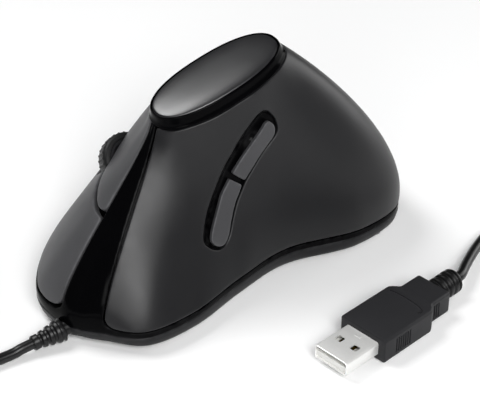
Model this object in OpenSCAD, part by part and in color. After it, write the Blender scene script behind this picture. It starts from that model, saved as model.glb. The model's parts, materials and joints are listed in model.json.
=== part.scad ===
// Wired vertical mouse for the right hand, with a thumb side on -X and the fingers on +X.
// Millimetres, +Z up, +Y towards the cable end, origin under the middle of the body.

/* [Body] */
// length of the belt outline along Y
body_l = 122; // [118:1:126]
// width of the belt outline along X
body_w = 73; // [70:1:76]
// height of the body over its highest point
body_h = 70.3; // [67.3:1:73.3]
// height of the belt line, where the side panels begin
belt_h = 7; // [6.5:0.25:8]
// height of the seam between the base cover and the gloss band
base_h = 5; // [4.5:0.25:5.5]
// thickness of the outer panels and buttons
panel_t = 2; // [1.7:0.1:2.3]
// wall of the inner frame
frame_wall = 1.8; // [1.4:0.1:2.2]
// wall of the base cover
base_wall = 2; // [1.6:0.2:2.6]
// clearance between a fixed panel and the frame
panel_gap = 0.15; // [0.1:0.05:0.25]
// open seam around the finger buttons
seam = 0.9; // [0.7:0.1:1.1]
// room for the finger buttons to travel above the frame
press_room = 1.5; // [1.3:0.1:1.8]

/* [Top cap] */
// half length of the cap oval
cap_a = 20.8; // [19.3:0.5:22.3]
// half width of the cap oval
cap_b = 9.3; // [8.5:0.1:10]
// how far the cap leans down towards the front, in degrees
cap_pitch = 17; // [14:1:20]
// how far the cap leans towards the thumb, in degrees
cap_roll = 4; // [0:1:8]
// thickness of the cap at its edge
cap_t = 1.6; // [1.2:0.1:2]
// rise of the cap's crown over its edge
cap_crown = 0.8; // [0.4:0.1:1.2]
// how far the rim stands out around the cap
rim_out = 1.7; // [1.4:0.1:2]
// how far the rim reaches below the cap
rim_drop = 3.4; // [3:0.1:4]

/* [Wheel] */
// radius of the wheel over its tyre
wheel_r = 8.5; // [8:0.1:9]
// width of the tyre
wheel_w = 6.4; // [5.6:0.2:7]
// thickness of the tyre
tyre_t = 2.3; // [1.8:0.1:2.8]
// number of tread grooves round the tyre
tread_n = 30; // [24:1:36]
// radius of the wheel's axle
axle_r = 1; // [0.8:0.1:1.2]
// running clearance of the axle in its arms
axle_gap = 0.05; // [0.03:0.01:0.1]
// depth of the axle below the shell
wheel_depth = 4.8; // [4.5:0.1:5.1]
// lean of the wheel and of its board towards the fingers, in degrees
finger_tilt = 45; // [42:1:48]
// travel of the wheel when it is pressed
wheel_travel = 0.6; // [0.4:0.1:0.7]

/* [Thumb buttons] */
// how far the thumb buttons stand proud of the panel
thumb_proud = 0.6; // [0.3:0.1:0.9]
// travel of the thumb buttons
thumb_travel = 0.7; // [0.5:0.1:0.8]
// depth of the gloss trough round the thumb buttons
trough_d = 1.4; // [1.3:0.05:1.5]

/* [Cord and plug] */
// diameter of the cord
cord_d = 3.2; // [3:0.1:3.3]
// distance between neighbouring turns of the coil
coil_pitch = 4.1; // [4:0.1:4.3]
// height between the layers of the coil
coil_rise = 3.7; // [3.6:0.1:3.9]
// width of the plug's grip
plug_w = 17; // [16:0.5:18]
// height of the plug's grip
plug_h = 8; // [7.5:0.5:9]
// length of the plug's metal shell outside the grip
shell_l = 13.2; // [12.8:0.1:13.6]
// width of the plug's metal shell
shell_w = 12; // [11.9:0.05:12.1]
// height of the plug's metal shell
shell_h = 4.5; // [4.4:0.05:4.6]
// sheet thickness of the plug's metal shell
shell_t = 0.35; // [0.3:0.05:0.4]

/* [Hidden] */

// guide ribs round the shell, starting at the nose and running over the thumb side:
// angle on the shoulder oval, belt point x and y, foot handle out and up, crown handle out and down
RIBS = [
    [357, -22, 57.5, 0, 12, 6, 12],
    [4, -27, 53, 0, 14, 6, 14],
    [34, -35.5, 43.5, -6, 12, 3, 22],
    [66, -35, 27, -10, 10, 2, 26],
    [92, -28.5, 7, -6, 14, 2, 26],
    [112, -24, -13, -2, 18, 4, 24],
    [138, -28, -38, 2, 20, 8, 18],
    [164, -20.5, -57.5, 3, 20, 14, 12],
    [196, 5.5, -59.5, 3, 20, 14, 12],
    [228, 26.5, -46, 3, 20, 12, 12],
    [262, 35.5, -16, 2, 20, 10, 14],
    [298, 33.5, 15.6, -1.5, 15.8, 7.9, 7],
    [328, 19.9, 44.6, -2.2, 12, 0.8, 9.9],
    [346, 0.5, 60.1, -1.9, 10.9, 0.8, 10.3],
    [352, -16, 60.6, 0, 14, 4, 12]];
rib_n = len(RIBS);
// belt size that the guide ribs are drawn for
rib_l = 122;
rib_w = 73;
// the ribs where the gloss spine begins and ends, and where the finger buttons end at the back
spine_u = 14;
spine_end_u = 16;
rear_u = 25.2;
hinge_u = 24.6;
// height fractions of the seam between the finger buttons and of the buttons' lower and upper ends
split_t = 0.51;
button_low_t = 0.045;
button_top_t = 0.985;
panel_top_t = 0.992;
panel_low_t = 0.004;
step_u = 0.03;

// air between fixed parts that sit together, and under a part that lies on another
fit = 0.1;
rest = 0.05;
// how far joined shapes sink into each other, and how far a cutter reaches past a face
bite = 0.5;
cut_over = 3;
through = 40;
// sides of screw holes, of round pins and of the wheel
hole_n = 12;
round_n = 24;
wheel_n = 48;
full_turn = 360;
quarter_turn = 90;

// oval of the top cap
cap_ex = 2.3;
cap_rise = 6.3;
cap_at = [-7, 2.2];
cap_c = [cap_at.x, cap_at.y, body_h - cap_rise];
cap_f = [0, cos(cap_pitch), -sin(cap_pitch)];
cap_up = [0, sin(cap_pitch), cos(cap_pitch)];
cap_x = [cos(cap_roll), 0, 0] + sin(cap_roll) * cap_up;
cap_n = cos(cap_roll) * cap_up - [sin(cap_roll), 0, 0];

function unit(v) = v / norm(v);
function flat(v) = [v.x, v.y, 0];
function span(a, b, n) = [for (k = [0:n]) a + (b - a) * k / n];
function ease(s) = s * s * (3 - 2 * s);
// value of a list at a fraction of its length
function along(list, s) =
    let (k = min(floor(s * (len(list) - 1)), len(list) - 2), f = s * (len(list) - 1) - k)
    list[k] + (list[k + 1] - list[k]) * f;

// point of an oval parallel to the cap, at an angle counted from the front over the thumb side
function oval(a, la, lb, drop) =
    let (m = pow(pow(abs(cos(a)), cap_ex) + pow(abs(sin(a)), cap_ex), -1 / cap_ex))
    cap_c + la * cos(a) * m * cap_f - lb * sin(a) * m * cap_x - drop * cap_n;

// four control points of each guide rib
function rib_control(g) =
    let (top = oval(g[0], cap_a + rim_out, cap_b + rim_out, rim_drop),
        foot = [g[1] * body_w / rib_w, g[2] * body_l / rib_l, belt_h],
        out = unit(flat(foot - top)))
    [foot, foot + out * g[3] + [0, 0, g[4]], top + out * g[5] - [0, 0, g[6]], top];
CONTROL = [for (g = RIBS) rib_control(g)];
function control(k) = CONTROL[(k + 2 * rib_n) % rib_n];
function blend(p0, p1, p2, p3, s) =
    (2 * p1 + (p2 - p0) * s + (2 * p0 - 5 * p1 + 4 * p2 - p3) * s * s
    + (3 * p1 - p0 - 3 * p2 + p3) * s * s * s) / 2;
function rib(u) =
    let (k = floor(u), s = u - k)
    blend(control(k - 1), control(k), control(k + 1), control(k + 2), s);
function bezier(c, t) =
    c[0] * pow(1 - t, 3) + 3 * c[1] * t * pow(1 - t, 2) + 3 * c[2] * t * t * (1 - t) + c[3] * pow(t, 3);

// shell surface over rib number u and height fraction t, its outward normal, and a point at a depth
fine = 0.01;
function shell(u, t) = bezier(rib(u), t);
function normal(u, t) =
    unit(cross(shell(u + fine, t) - shell(u - fine, t),
        shell(u, min(t + fine, 1)) - shell(u, max(t - fine, 0))));
steep_min = 0.5;
skin_over = 0.2;
// depths run level near the belt and along the plane of the cap near the top
function level_axis(t) = let (w = ease(max(0, 2 * t - 1))) unit([0, 0, 1 - w] + w * cap_n);
// and what lies deeper than the panels runs towards the middle, so that walls never cross at the nose
core_low = [-2, 0, belt_h];
function core_way(u, t, a) = let (v = shell(u, t) - core_low - (cap_c - core_low) * t) unit(v - (v * a) * a);
function deep(u, t, d) =
    let (n = normal(u, t), a = level_axis(t), h = n - (n * a) * a, c = core_way(u, t, a),
        near = min(d, panel_t + skin_over), far = d - near)
    shell(u, t) - unit(h) * near / max(norm(h), steep_min) - c * far / max(n * c, steep_min);
// share of a rib interval that measures a given width
function share(w, u, t) = w * 2 * fine / norm(shell(u + fine, t) - shell(u - fine, t));
// belt point moved inwards at a given height
function belt(u, d, z) =
    let (p = deep(u, 0, d))
    [p.x, p.y, z];

// closed solid between two point grids of the same size, grid[i][j] running along u and up t
module slab(outer, inner, ring = false) {
    ni = len(outer);
    nj = len(outer[0]);
    last = ring ? ni - 1 : ni - 2;
    points = concat([for (r = outer) for (p = r) p], [for (r = inner) for (p = r) p]);
    function o(i, j) = (i % ni) * nj + j;
    function n(i, j) = ni * nj + (i % ni) * nj + j;
    skin = [for (i = [0:last]) for (j = [0:nj - 2]) each [
        [o(i, j), o(i + 1, j + 1), o(i + 1, j)],
        [o(i, j), o(i, j + 1), o(i + 1, j + 1)],
        [n(i, j), n(i + 1, j), n(i + 1, j + 1)],
        [n(i, j), n(i + 1, j + 1), n(i, j + 1)]]];
    rims = [for (i = [0:last]) each [
        [o(i, 0), o(i + 1, 0), n(i + 1, 0)],
        [o(i, 0), n(i + 1, 0), n(i, 0)],
        [o(i, nj - 1), n(i + 1, nj - 1), o(i + 1, nj - 1)],
        [o(i, nj - 1), n(i, nj - 1), n(i + 1, nj - 1)]]];
    ends = ring ? [] : [for (j = [0:nj - 2]) each [
        [o(0, j), n(0, j + 1), o(0, j + 1)],
        [o(0, j), n(0, j), n(0, j + 1)],
        [o(ni - 1, j), o(ni - 1, j + 1), n(ni - 1, j + 1)],
        [o(ni - 1, j), n(ni - 1, j + 1), n(ni - 1, j)]]];
    polyhedron(points, concat(skin, rims, ends));
}

// solid of revolution-like rings: a closed profile carried round a list of stations
module ringed(rings) {
    ni = len(rings);
    nj = len(rings[0]);
    function o(i, j) = (i % ni) * nj + j % nj;
    polyhedron([for (r = rings) for (p = r) p], [for (i = [0:ni - 1]) for (j = [0:nj - 1]) each [
        [o(i, j), o(i + 1, j), o(i + 1, j + 1)],
        [o(i, j), o(i + 1, j + 1), o(i, j + 1)]]]);
}

// closed stack of rings with a fan on a middle point at both ends
module stacked(rings, low, high) {
    ni = len(rings);
    nj = len(rings[0]);
    points = concat([for (r = rings) for (p = r) p], [low, high]);
    function o(i, j) = i * nj + j % nj;
    walls = [for (i = [0:ni - 2]) for (j = [0:nj - 1]) each [
        [o(i, j), o(i, j + 1), o(i + 1, j + 1)],
        [o(i, j), o(i + 1, j + 1), o(i + 1, j)]]];
    fans = [for (j = [0:nj - 1]) each [
        [ni * nj, o(0, j + 1), o(0, j)],
        [ni * nj + 1, o(ni - 1, j), o(ni - 1, j + 1)]]];
    polyhedron(points, concat(walls, fans));
}

// round tube along a list of points
function ring_at(p, d, r, n) =
    let (side = unit(cross(d, [0, 0, 1])), up = cross(side, d))
    [for (k = [0:n - 1]) p + r * (cos(full_turn * k / n) * side + sin(full_turn * k / n) * up)];
function heading(line, k) = unit(line[min(k + 1, len(line) - 1)] - line[max(k - 1, 0)]);
module tube(line, r, sides) {
    m = len(line);
    stacked([for (k = [0:m - 1]) ring_at(line[k], heading(line, k), r, sides)], line[0], line[m - 1]);
}
function route(pts, n) =
    let (m = len(pts))
    concat([for (k = [0:m - 2]) for (s = [0:n - 1])
        blend(pts[max(k - 1, 0)], pts[k], pts[k + 1], pts[min(k + 2, m - 1)], s / n)], [pts[m - 1]]);

// frame shell: gloss spine and band, with recesses under the panels and buttons
grip_depth = panel_t + panel_gap;
button_depth = panel_t + press_room;
band_low = base_h + fit;
// the band rises under the finger buttons
ledge_run = 3;
ledge_share = 0.75;
function ledge(u) = u >= rear_u ? button_low_t * ledge_share * ease(min(1, (u - rear_u) / ledge_run)) : 0;
// the frame drops a little deeper beside the spine
edge_drop = 0.25;
function recess(u) = u <= spine_end_u || u >= rib_n + spine_u ? 0
    : u < spine_end_u + 2 * step_u ? grip_depth + edge_drop : u <= hinge_u ? grip_depth : button_depth;
spine_n = 4;
grip_n = 25;
finger_n = 14;
grip_us = span(spine_end_u + step_u, hinge_u, grip_n);
frame_us = concat(span(spine_u, spine_end_u, spine_n), grip_us,
    span(hinge_u + step_u, rib_n + spine_u - step_u, finger_n));
// rows shared by the frame and the panel on it, so that their facets run side by side
foot_ts = [0.05, 0.12];
side_ts = span(0.2, 0.9, 7);
shell_ts = concat([panel_low_t], foot_ts, side_ts, [panel_top_t]);
row_gap = 0.01;
button_frame_top = 0.968;
function frame_t(u, t) = u >= hinge_u + step_u / 2 && u < rib_n + spine_u
    ? max(ledge(u) + panel_low_t, min(t, button_frame_top)) : t;
function frame_column(u, extra) = concat(
    [belt(u, extra > 0 ? grip_depth + extra : 0, band_low)],
    [deep(u, ledge(u), extra > 0 ? grip_depth + extra : 0)],
    [for (t = shell_ts)
        deep(u, max(frame_t(u, t), ledge(u) + panel_low_t + t * row_gap), recess(u) + extra)]);

pillar_us = [16.7, 20.9, 24.5, 27.4];
pillar_r = 3.4;
pillar_h = 4.5;
pillar_end = 1;
pillar_bite = 0.3;
screw_r = 1.3;
screw_l = 5;
screw_head_r = 2.3;
screw_head_h = 1.3;
screw_gap = 0.06;
head_room = 0.2;
drive_l = 2.6;
drive_w = 0.6;
drive_d = 0.7;
base_z = 0.6;
floor_z = base_z + base_wall;
head_cover = 1.2;
head_z = base_z + head_cover;
function pillar_at(u) = belt(u, recess(u) + frame_wall + pillar_r - pillar_bite, 0);

module frame_shell() {
    color("#0b0b0c") difference() {
        union() {
            slab([for (u = frame_us) frame_column(u, 0)],
                [for (u = frame_us) frame_column(u, frame_wall)], true);
            for (u = pillar_us)
                translate(pillar_at(u) + [0, 0, band_low])
                    cylinder(r = pillar_r, h = pillar_h, $fn = hole_n);
        }
        for (u = pillar_us)
            translate(pillar_at(u))
                cylinder(r = screw_r + screw_gap, h = band_low + pillar_h - pillar_end, $fn = hole_n);
        finger_frame() wheel_opening();
        for (x = [index_x, middle_x])
            finger_frame() translate([x, switch_y, 0])
                cube([post_hole, post_hole, through], center = true);
        for (p = [high_at, low_at])
            translate(p + [thumb_cut / 4, 0, 0])
                cube([thumb_cut, post_hole, post_hole], center = true);
        relief_hole();
    }
}

// grip shell: soft-touch panel from the spine over the thumb, heel and palm
corner_us = [0.06, 0.12, 0.2];
corner_free = 0.3;
panel_us = concat([for (c = corner_us) spine_end_u + c],
    [for (u = grip_us) if (u > spine_end_u + corner_free) u], [hinge_u + corner_free, rear_u]);
corner_u = 0.35;
// the panel thins a little along its front edge
edge_u = 0.8;
edge_thin = 0.4;
corner_t = 0.08;
function panel_low(u) =
    let (s = max(0, 1 - (u - spine_end_u) / corner_u))
    panel_low_t + corner_t * (1 - sqrt(1 - s * s));
// the seam beside the spine keeps its width while the ribs draw together
spine_gap = 0.25;
draw_share = 0.5;
row_min = 0.012;
function panel_u(u, t) = max(u, spine_end_u + share(panel_gap + spine_gap, spine_end_u, t)
    + (u - spine_end_u) * draw_share);
function panel_column(u, d) = [for (k = [0:len(shell_ts) - 1])
    let (t = max(shell_ts[k], panel_low(u) + row_min * k)) deep(panel_u(u, t), min(t, panel_top_t), d)];

module grip_shell() {
    color("#38383a") difference() {
        slab([for (u = panel_us) panel_column(u, 0)], [for (u = panel_us)
            panel_column(u, u < spine_end_u + edge_u ? panel_t - edge_thin : panel_t)]);
        thumb_patch(slot_front, slot_rear, -cut_over, panel_t + skin_over, 0);
    }
}

// finger buttons: curved plates with a thin hinge tongue under the grip shell
tongue_gap = 0.25;
tongue_top = panel_t + tongue_gap;
tongue_t = 0.8;
tongue_u = 0.5;
// stations along the button with their outer and inner depth, the tongue first
tongue_low = tongue_top + tongue_t;
tongue_ps = [-1, -0.5, -0.02];
root_ps = [0, 0.03];
plate_ps = [0.035, 0.1, 0.18, 0.28, 0.38, 0.48, 0.58, 0.68, 0.78, 0.86, 0.91, 0.95, 0.98, 1];
button_ps = concat([for (p = tongue_ps) [p, tongue_top, tongue_low]], [for (p = root_ps) [p, 0, tongue_low]],
    [for (p = plate_ps) [p, 0, panel_t]]);
plate_rows = 7;
corner_p = 0.14;
function button_point(p, q, d, low, high, round_t) =
    let (s = max(0, 1 - (1 - p) / corner_p),
        t0 = low + round_t * (1 - sqrt(1 - s * s)),
        t = t0 + (high - t0) * q,
        u1 = rib_n + spine_u - share(seam, rib_n + spine_u - 2 * fine, t),
        u0 = rear_u + share(seam / 2, rear_u, t))
    deep(p < 0 ? u0 + p * tongue_u : u0 + (u1 - u0) * p, t, d);
module button_plate(low, high, round_t) {
    qs = span(0, 1, plate_rows);
    slab([for (b = button_ps) [for (q = qs) button_point(b[0], q, b[1], low, high, round_t)]],
        [for (b = button_ps) [for (q = qs) button_point(b[0], q, b[2], low, high, round_t)]]);
}
split_half = 0.009;
index_round = 0.03;
middle_round = 0.07;

module index_button() {
    color("#454547") {
        difference() {
            button_plate(split_t + split_half, button_top_t, index_round);
            finger_frame() wheel_slot();
        }
        button_post(index_x, index_post_top);
    }
}
module middle_button() {
    color("#454547") {
        difference() {
            button_plate(button_low_t, split_t - split_half, middle_round);
            finger_frame() wheel_slot();
        }
        button_post(middle_x, middle_post_top);
    }
}

// top rim and cap
oval_n = 48;
rim_step = 0.8;
rim_wall = 0.9;
cap_fit = 0.12;
cap_seat = cap_t + fit;
rim_shelf = 5.5;
rim_draft = 0.1;
rim_bevel = 0.3;
rim_profile = [[rim_out, rim_drop], [rim_out - rim_draft, rim_drop - rim_step],
    [rim_wall, rim_drop - rim_step - rim_bevel], [rim_wall - rim_draft, rim_bevel],
    [rim_wall - rim_draft - rim_bevel, 0], [cap_fit, 0], [cap_fit, cap_seat], [-rim_shelf, cap_seat],
    [-rim_shelf, rim_drop]];
module top_rim() {
    color("#0b0b0c")
        ringed([for (k = [0:oval_n - 1]) let (a = -full_turn * k / oval_n)
            [for (q = rim_profile) oval(a, cap_a + q[0], cap_b + q[0], q[1])]]);
}
cap_bevel = 0.25;
cap_foot = 0.99;
// size and height shares of the rings over the crown, from the edge to the middle
crown_rings = [[0.97, 0.125], [0.8, 0.45], [0.45, 0.85]];
function cap_ring(f, drop) =
    [for (k = [0:oval_n - 1]) oval(-full_turn * k / oval_n, cap_a * f, cap_b * f, drop)];
module top_cap() {
    color("#6a6a6c")
        stacked(concat([cap_ring(cap_foot, cap_t), cap_ring(1, cap_t - cap_bevel), cap_ring(1, cap_bevel)],
            [for (c = crown_rings) cap_ring(c[0], -c[1] * cap_crown)]),
            cap_c - cap_t * cap_n, cap_c + cap_crown * cap_n);
}

// base cover with bosses, sensor window and screw recesses
rib_steps = 4;
outline_n = rib_n * rib_steps;
function base_ring(d, z, f) = [for (k = [0:outline_n - 1]) let (p = belt(-rib_n * k / outline_n, d, z))
    [p.x * f, p.y * f, z]];
base_foot = 0.96;
base_bulge = 0.99;
base_draw = 0.01;
bulge_h = 1.6;
sensor_at = [2, -20, 0];
window_w = 9;
window_l = 14;
boss_r = 2.2;
board_z = 6.6;
main_bosses = [[-10, -12], [16, -12], [3, -43]];
module base_cover() {
    color("#1b1b1c") difference() {
        union() {
            difference() {
                stacked([base_ring(0, base_z, base_foot), base_ring(0, base_z + bulge_h, base_bulge),
                    base_ring(0, base_h, 1)], [0, 0, base_z], [0, 0, base_h]);
                stacked([base_ring(base_wall, floor_z, base_foot + base_draw),
                    base_ring(base_wall, base_h + cut_over, 1)], [0, 0, floor_z], [0, 0, base_h + cut_over]);
            }
            for (p = main_bosses)
                translate([p.x, p.y, floor_z - bite])
                    cylinder(r = boss_r, h = board_z - floor_z + bite, $fn = hole_n);
            for (u = pillar_us)
                translate(pillar_at(u) + [0, 0, base_z])
                    cylinder(r = pillar_r, h = base_h - base_z, $fn = hole_n);
        }
        translate(sensor_at)
            cube([window_w, window_l, 3 * floor_z], center = true);
        for (u = pillar_us) {
            translate(pillar_at(u))
                cylinder(r = screw_r + screw_gap, h = 2 * base_h, $fn = hole_n);
            translate(pillar_at(u))
                cylinder(r = screw_head_r + head_room, h = head_z + screw_head_h + fit, $fn = hole_n);
        }
        relief_hole();
    }
}
foot_t = 0.6;
feet_us = [2.7, 13.1, 6.9, 8.7];
foot_inset = 7;
foot_w = 5;
foot_l = 15;
foot_n = 24;
foot_run = (foot_l - foot_w) / 2;
function foot_turn(u) = let (d = shell(u + fine, 0) - shell(u - fine, 0)) atan2(d.y, d.x) - quarter_turn;
module glide_feet() {
    color("#2c2c2e")
        for (u = feet_us)
            translate(belt(u, foot_inset, 0)) rotate([0, 0, foot_turn(u)])
                linear_extrude(foot_t) polygon([for (k = [0:foot_n - 1]) let (a = full_turn * k / foot_n)
                    [cos(a) * foot_w / 2, foot_run * (sin(a) >= 0 ? 1 : -1) + sin(a) * foot_w / 2]]);
}
module case_screws() {
    color("#8d8f92")
        for (u = pillar_us)
            translate(pillar_at(u) + [0, 0, head_z]) {
                translate([0, 0, screw_head_h])
                    cylinder(r = screw_r, h = screw_l, $fn = round_n);
                difference() {
                    cylinder(r = screw_head_r, h = screw_head_h, $fn = round_n);
                    for (a = [0, quarter_turn])
                        rotate([0, 0, a]) cube([drive_l, drive_w, 2 * drive_d], center = true);
                }
            }
}

// thumb slot, trough and buttons: front and rear edges as rib number and height fraction, from the top
slot_front = [[4.93, 0.888], [4.72, 0.893], [4.35, 0.873], [3.98, 0.837], [3.67, 0.787], [3.4, 0.74],
    [3.2, 0.673], [3.05, 0.603], [2.98, 0.53], [2.97, 0.46], [3.02, 0.41], [3.16, 0.368], [3.28, 0.335]];
slot_rear = [[5.06, 0.87], [5.2, 0.81], [5.16, 0.74], [4.72, 0.69], [4.43, 0.645], [4.17, 0.6],
    [4.05, 0.565], [3.9, 0.51], [3.8, 0.44], [3.74, 0.37], [3.68, 0.325], [3.56, 0.298], [3.42, 0.308]];
high_front = [[4.9, 0.834], [4.83, 0.828], [4.68, 0.812], [4.47, 0.793], [4.25, 0.77], [4.05, 0.747],
    [3.88, 0.724], [3.72, 0.703]];
high_rear = [[5, 0.828], [5.11, 0.79], [5.07, 0.748], [4.84, 0.72], [4.63, 0.697], [4.48, 0.676],
    [4.32, 0.651], [4.1, 0.617]];
low_front = [[3.58, 0.672], [3.46, 0.645], [3.37, 0.62], [3.28, 0.557], [3.2, 0.493], [3.16, 0.435],
    [3.2, 0.39], [3.32, 0.352]];
low_rear = [[3.96, 0.592], [3.9, 0.56], [3.8, 0.523], [3.71, 0.45], [3.66, 0.38], [3.61, 0.34],
    [3.53, 0.32], [3.42, 0.33]];
// grid patch between two edges, drawn in by a margin, from one depth to another
slot_l = 20;
edge_steps = 2;
function edge_points(front, rear, pull) =
    let (m = (len(front) - 1) * edge_steps, e = pull / slot_l)
    [for (k = [0:m]) let (s = e + (1 - 2 * e) * k / m, a = along(front, s), b = along(rear, s),
        w = norm(shell(a[0], a[1]) - shell(b[0], b[1])), f = pull / w)
        [for (s = [f, 1 / 2, 1 - f]) a + (b - a) * s]];
module thumb_patch(front, rear, d0, d1, pull) {
    grid = edge_points(front, rear, pull);
    slab([for (r = grid) [for (q = [0, 1, 2]) deep(r[q][0], r[q][1], d0)]],
        [for (r = grid) [for (q = [0, 1, 2]) deep(r[q][0], r[q][1], d1)]]);
}
high_uv = along(high_front, 1 / 2) / 2 + along(high_rear, 1 / 2) / 2;
low_uv = along(low_front, 1 / 2) / 2 + along(low_rear, 1 / 2) / 2;
high_at = shell(high_uv[0], high_uv[1]);
low_at = shell(low_uv[0], low_uv[1]);
post_w = 3;
post_gap = 0.5;
post_hole = post_w + 2 * post_gap;
thumb_cut = 20;
thumb_clear = 0.15;
thumb_under = trough_d - thumb_travel - thumb_clear;
module thumb_post(p) {
    reach = thumb_key_x - thumb_travel - fit;
    translate([p.x + thumb_under - bite, p.y - post_w / 2, p.z - post_w / 2])
        cube([reach - p.x - thumb_under + bite, post_w, post_w]);
}
module thumb_button_high() {
    color("#4a4a4c") {
        thumb_patch(high_front, high_rear, -thumb_proud, thumb_under, 0);
        thumb_post(high_at);
    }
}
module thumb_button_low() {
    color("#4a4a4c") {
        thumb_patch(low_front, low_rear, -thumb_proud, thumb_under, 0);
        thumb_post(low_at);
    }
}
bezel_in = 0.25;
module thumb_bezel() {
    color("#0b0b0c") difference() {
        thumb_patch(slot_front, slot_rear, trough_d, panel_t - panel_gap, bezel_in);
        for (p = [high_at, low_at])
            translate(p)
                cube([thumb_cut, post_hole, post_hole], center = true);
    }
}

// finger mechanism, in a frame on the wheel's axle with +z out of the shell and +x down the slope
wheel_u = 26.51;
// how far down the slope from the seam the wheel sits
wheel_down = 1.2;
wheel_at = shell(wheel_u, split_t) - wheel_depth * normal(wheel_u, split_t)
    + wheel_down * [cos(finger_tilt), 0, -sin(finger_tilt)];
module finger_frame() {
    translate(wheel_at) rotate([0, finger_tilt, 0]) children();
}
hub_r = wheel_r - tyre_t;
arm_gap = 0.9;
arm_x = wheel_w / 2 + arm_gap;
arm_t = 1.8;
arm_half = 2.6;
encoder_x = arm_x + arm_t + fit;
encoder_t = 2.5;
lean = 30;
slot_gap = 1.1;
slot_end = 0.4;
slot_corner = 1.5;
slot_half = wheel_w / 2 + slot_gap;
slot_len = wheel_r + slot_end;
slot_outline = [[-slot_half, slot_len - slot_corner], [slot_corner - slot_half, slot_len],
    [slot_half - slot_corner, slot_len], [slot_half, slot_len - slot_corner],
    [slot_half, slot_corner - slot_len], [slot_half - slot_corner, -slot_len],
    [slot_corner - slot_half, -slot_len], [-slot_half, slot_corner - slot_len]];
module wheel_slot() {
    rotate([-lean, 0, 0]) linear_extrude(through) polygon(slot_outline);
}
opening_low = -encoder_x - encoder_t - arm_gap;
opening_high = arm_x + arm_t + arm_gap;
opening_half = wheel_r + 1.6;
opening_z = -12;
module wheel_opening() {
    translate([opening_low, -opening_half, opening_z])
        cube([opening_high - opening_low, 2 * opening_half, through]);
}
board_top = -12.4;
board_t = 1.2;
plate_gap = 0.2;
plate_low = board_top + wheel_travel + plate_gap;
plate_t = 1.2;
key_h = 3.4;
key_w = 6;
key_y = -12;
key_nub_r = 1.6;
key_nub_h = 0.6;
lug_low = board_top + key_h + key_nub_h + fit + wheel_travel;
lug_t = 1;
lug_l = 5.8;
lug_y = key_y - 1;
web_y = key_y + 3.8;
web_t = 1;
plate_y = key_y + 4;
pin_r = 1;
pin_x = 5.5;
pin_over = 1;
tyre_fit = 0.02;
hub_in = 0.4;
hub_lip = 1.2;
hub_dish = 0.8;
hub_boss_r = 2.4;
axle_in = 0.4;
axle_end = 0.2;
axle_low = axle_in - encoder_x - encoder_t;
module wheel_hub() {
    color("#2a2a2c") finger_frame() rotate([0, 90, 0]) {
        difference() {
            cylinder(r = hub_r - tyre_fit, h = wheel_w - 2 * hub_in, center = true, $fn = wheel_n);
            for (s = [-1, 1])
                translate([0, 0, s * (wheel_w / 2 - hub_in)])
                    difference() {
                        cylinder(r = hub_r - hub_lip, h = 2 * hub_dish, center = true, $fn = wheel_n);
                        cylinder(r = hub_boss_r, h = 3 * hub_dish, center = true, $fn = round_n);
                    }
        }
        translate([0, 0, axle_low])
            cylinder(r = axle_r, h = arm_x + arm_t - axle_end - axle_low, $fn = round_n);
    }
}
tread_d = 0.45;
// four corners of each rib and groove of the tread
tread_corners = 4;
function tread(k) = let (q = k % tread_corners) q == 0 || q == 3 ? wheel_r : wheel_r - tread_d;
function tread_a(k) = full_turn * k / (tread_corners * tread_n);
module wheel_tyre() {
    color("#161617") finger_frame() rotate([0, 90, 0])
        difference() {
            linear_extrude(wheel_w, center = true)
                polygon([for (k = [0:tread_corners * tread_n - 1])
                    tread(k) * [cos(tread_a(k)), sin(tread_a(k))]]);
            cylinder(r = hub_r, h = 2 * wheel_w, center = true, $fn = wheel_n);
        }
}
arm_wall = 0.65;
arm_top = axle_r + arm_wall;
arm_front = 2;
arm_round = 0.25;
arm_outline = [[-arm_half, plate_low], [arm_front, plate_low], [arm_front, -arm_wall], [arm_top, arm_round],
    [arm_top / 2, arm_top - arm_round], [0, arm_top], [-arm_half / 2, arm_top - arm_round], [-arm_half, 0]];
module wheel_carrier() {
    color("#1f1f21") finger_frame() {
        difference() {
            union() {
                for (s = [-1, 1])
                    translate([s * (arm_x + arm_t / 2) - arm_t / 2, 0, 0]) rotate([90, 0, 90])
                        linear_extrude(arm_t) polygon(arm_outline);
                translate([-arm_x - arm_t, plate_y, plate_low])
                    cube([2 * (arm_x + arm_t), arm_half - plate_y, plate_t]);
                translate([-key_w / 2, web_y, plate_low])
                    cube([key_w, web_t, lug_low + lug_t - plate_low]);
                translate([-key_w / 2, lug_y, lug_low])
                    cube([key_w, lug_l, lug_t]);
            }
            rotate([0, 90, 0])
                cylinder(r = axle_r + axle_gap, h = through, center = true, $fn = round_n);
        }
        for (s = [-1, 1])
            translate([s * pin_x, 0, board_top - board_t - pin_over])
                cylinder(r = pin_r, h = plate_low - board_top + board_t + pin_over + bite, $fn = round_n);
    }
}
encoder_size = [encoder_t, 7.2, 8.2];
encoder_corner = [-encoder_x - encoder_t, -6, -7];
module wheel_encoder() {
    color("#3a5a46") finger_frame()
        difference() {
            translate(encoder_corner)
                cube(encoder_size);
            rotate([0, 90, 0])
                cylinder(r = axle_r + axle_gap, h = through, center = true, $fn = round_n);
        }
}
module wheel_switch() {
    color("#202020") finger_frame() translate([0, key_y, board_top]) {
        translate([-key_w / 2, -key_w / 2, rest])
            cube([key_w, key_w, key_h]);
        translate([0, 0, key_h])
            cylinder(r = key_nub_r, h = key_nub_h, $fn = round_n);
    }
}
index_x = -12;
middle_x = 12;
switch_y = -2;
switch_w = 5.8;
switch_l = 12.8;
switch_h = 6.5;
nub_h = 0.9;
nub_w = 1.2;
nub_l = 2.8;
index_stroke = 0.55;
index_post_top = 5.2;
middle_post_top = 3;
nub_top = board_top + switch_h + nub_h;
module button_post(x, top) {
    finger_frame() translate([x - post_w / 2, switch_y - post_w / 2, nub_top + index_stroke])
        cube([post_w, post_w, top - nub_top - index_stroke]);
}
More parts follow.
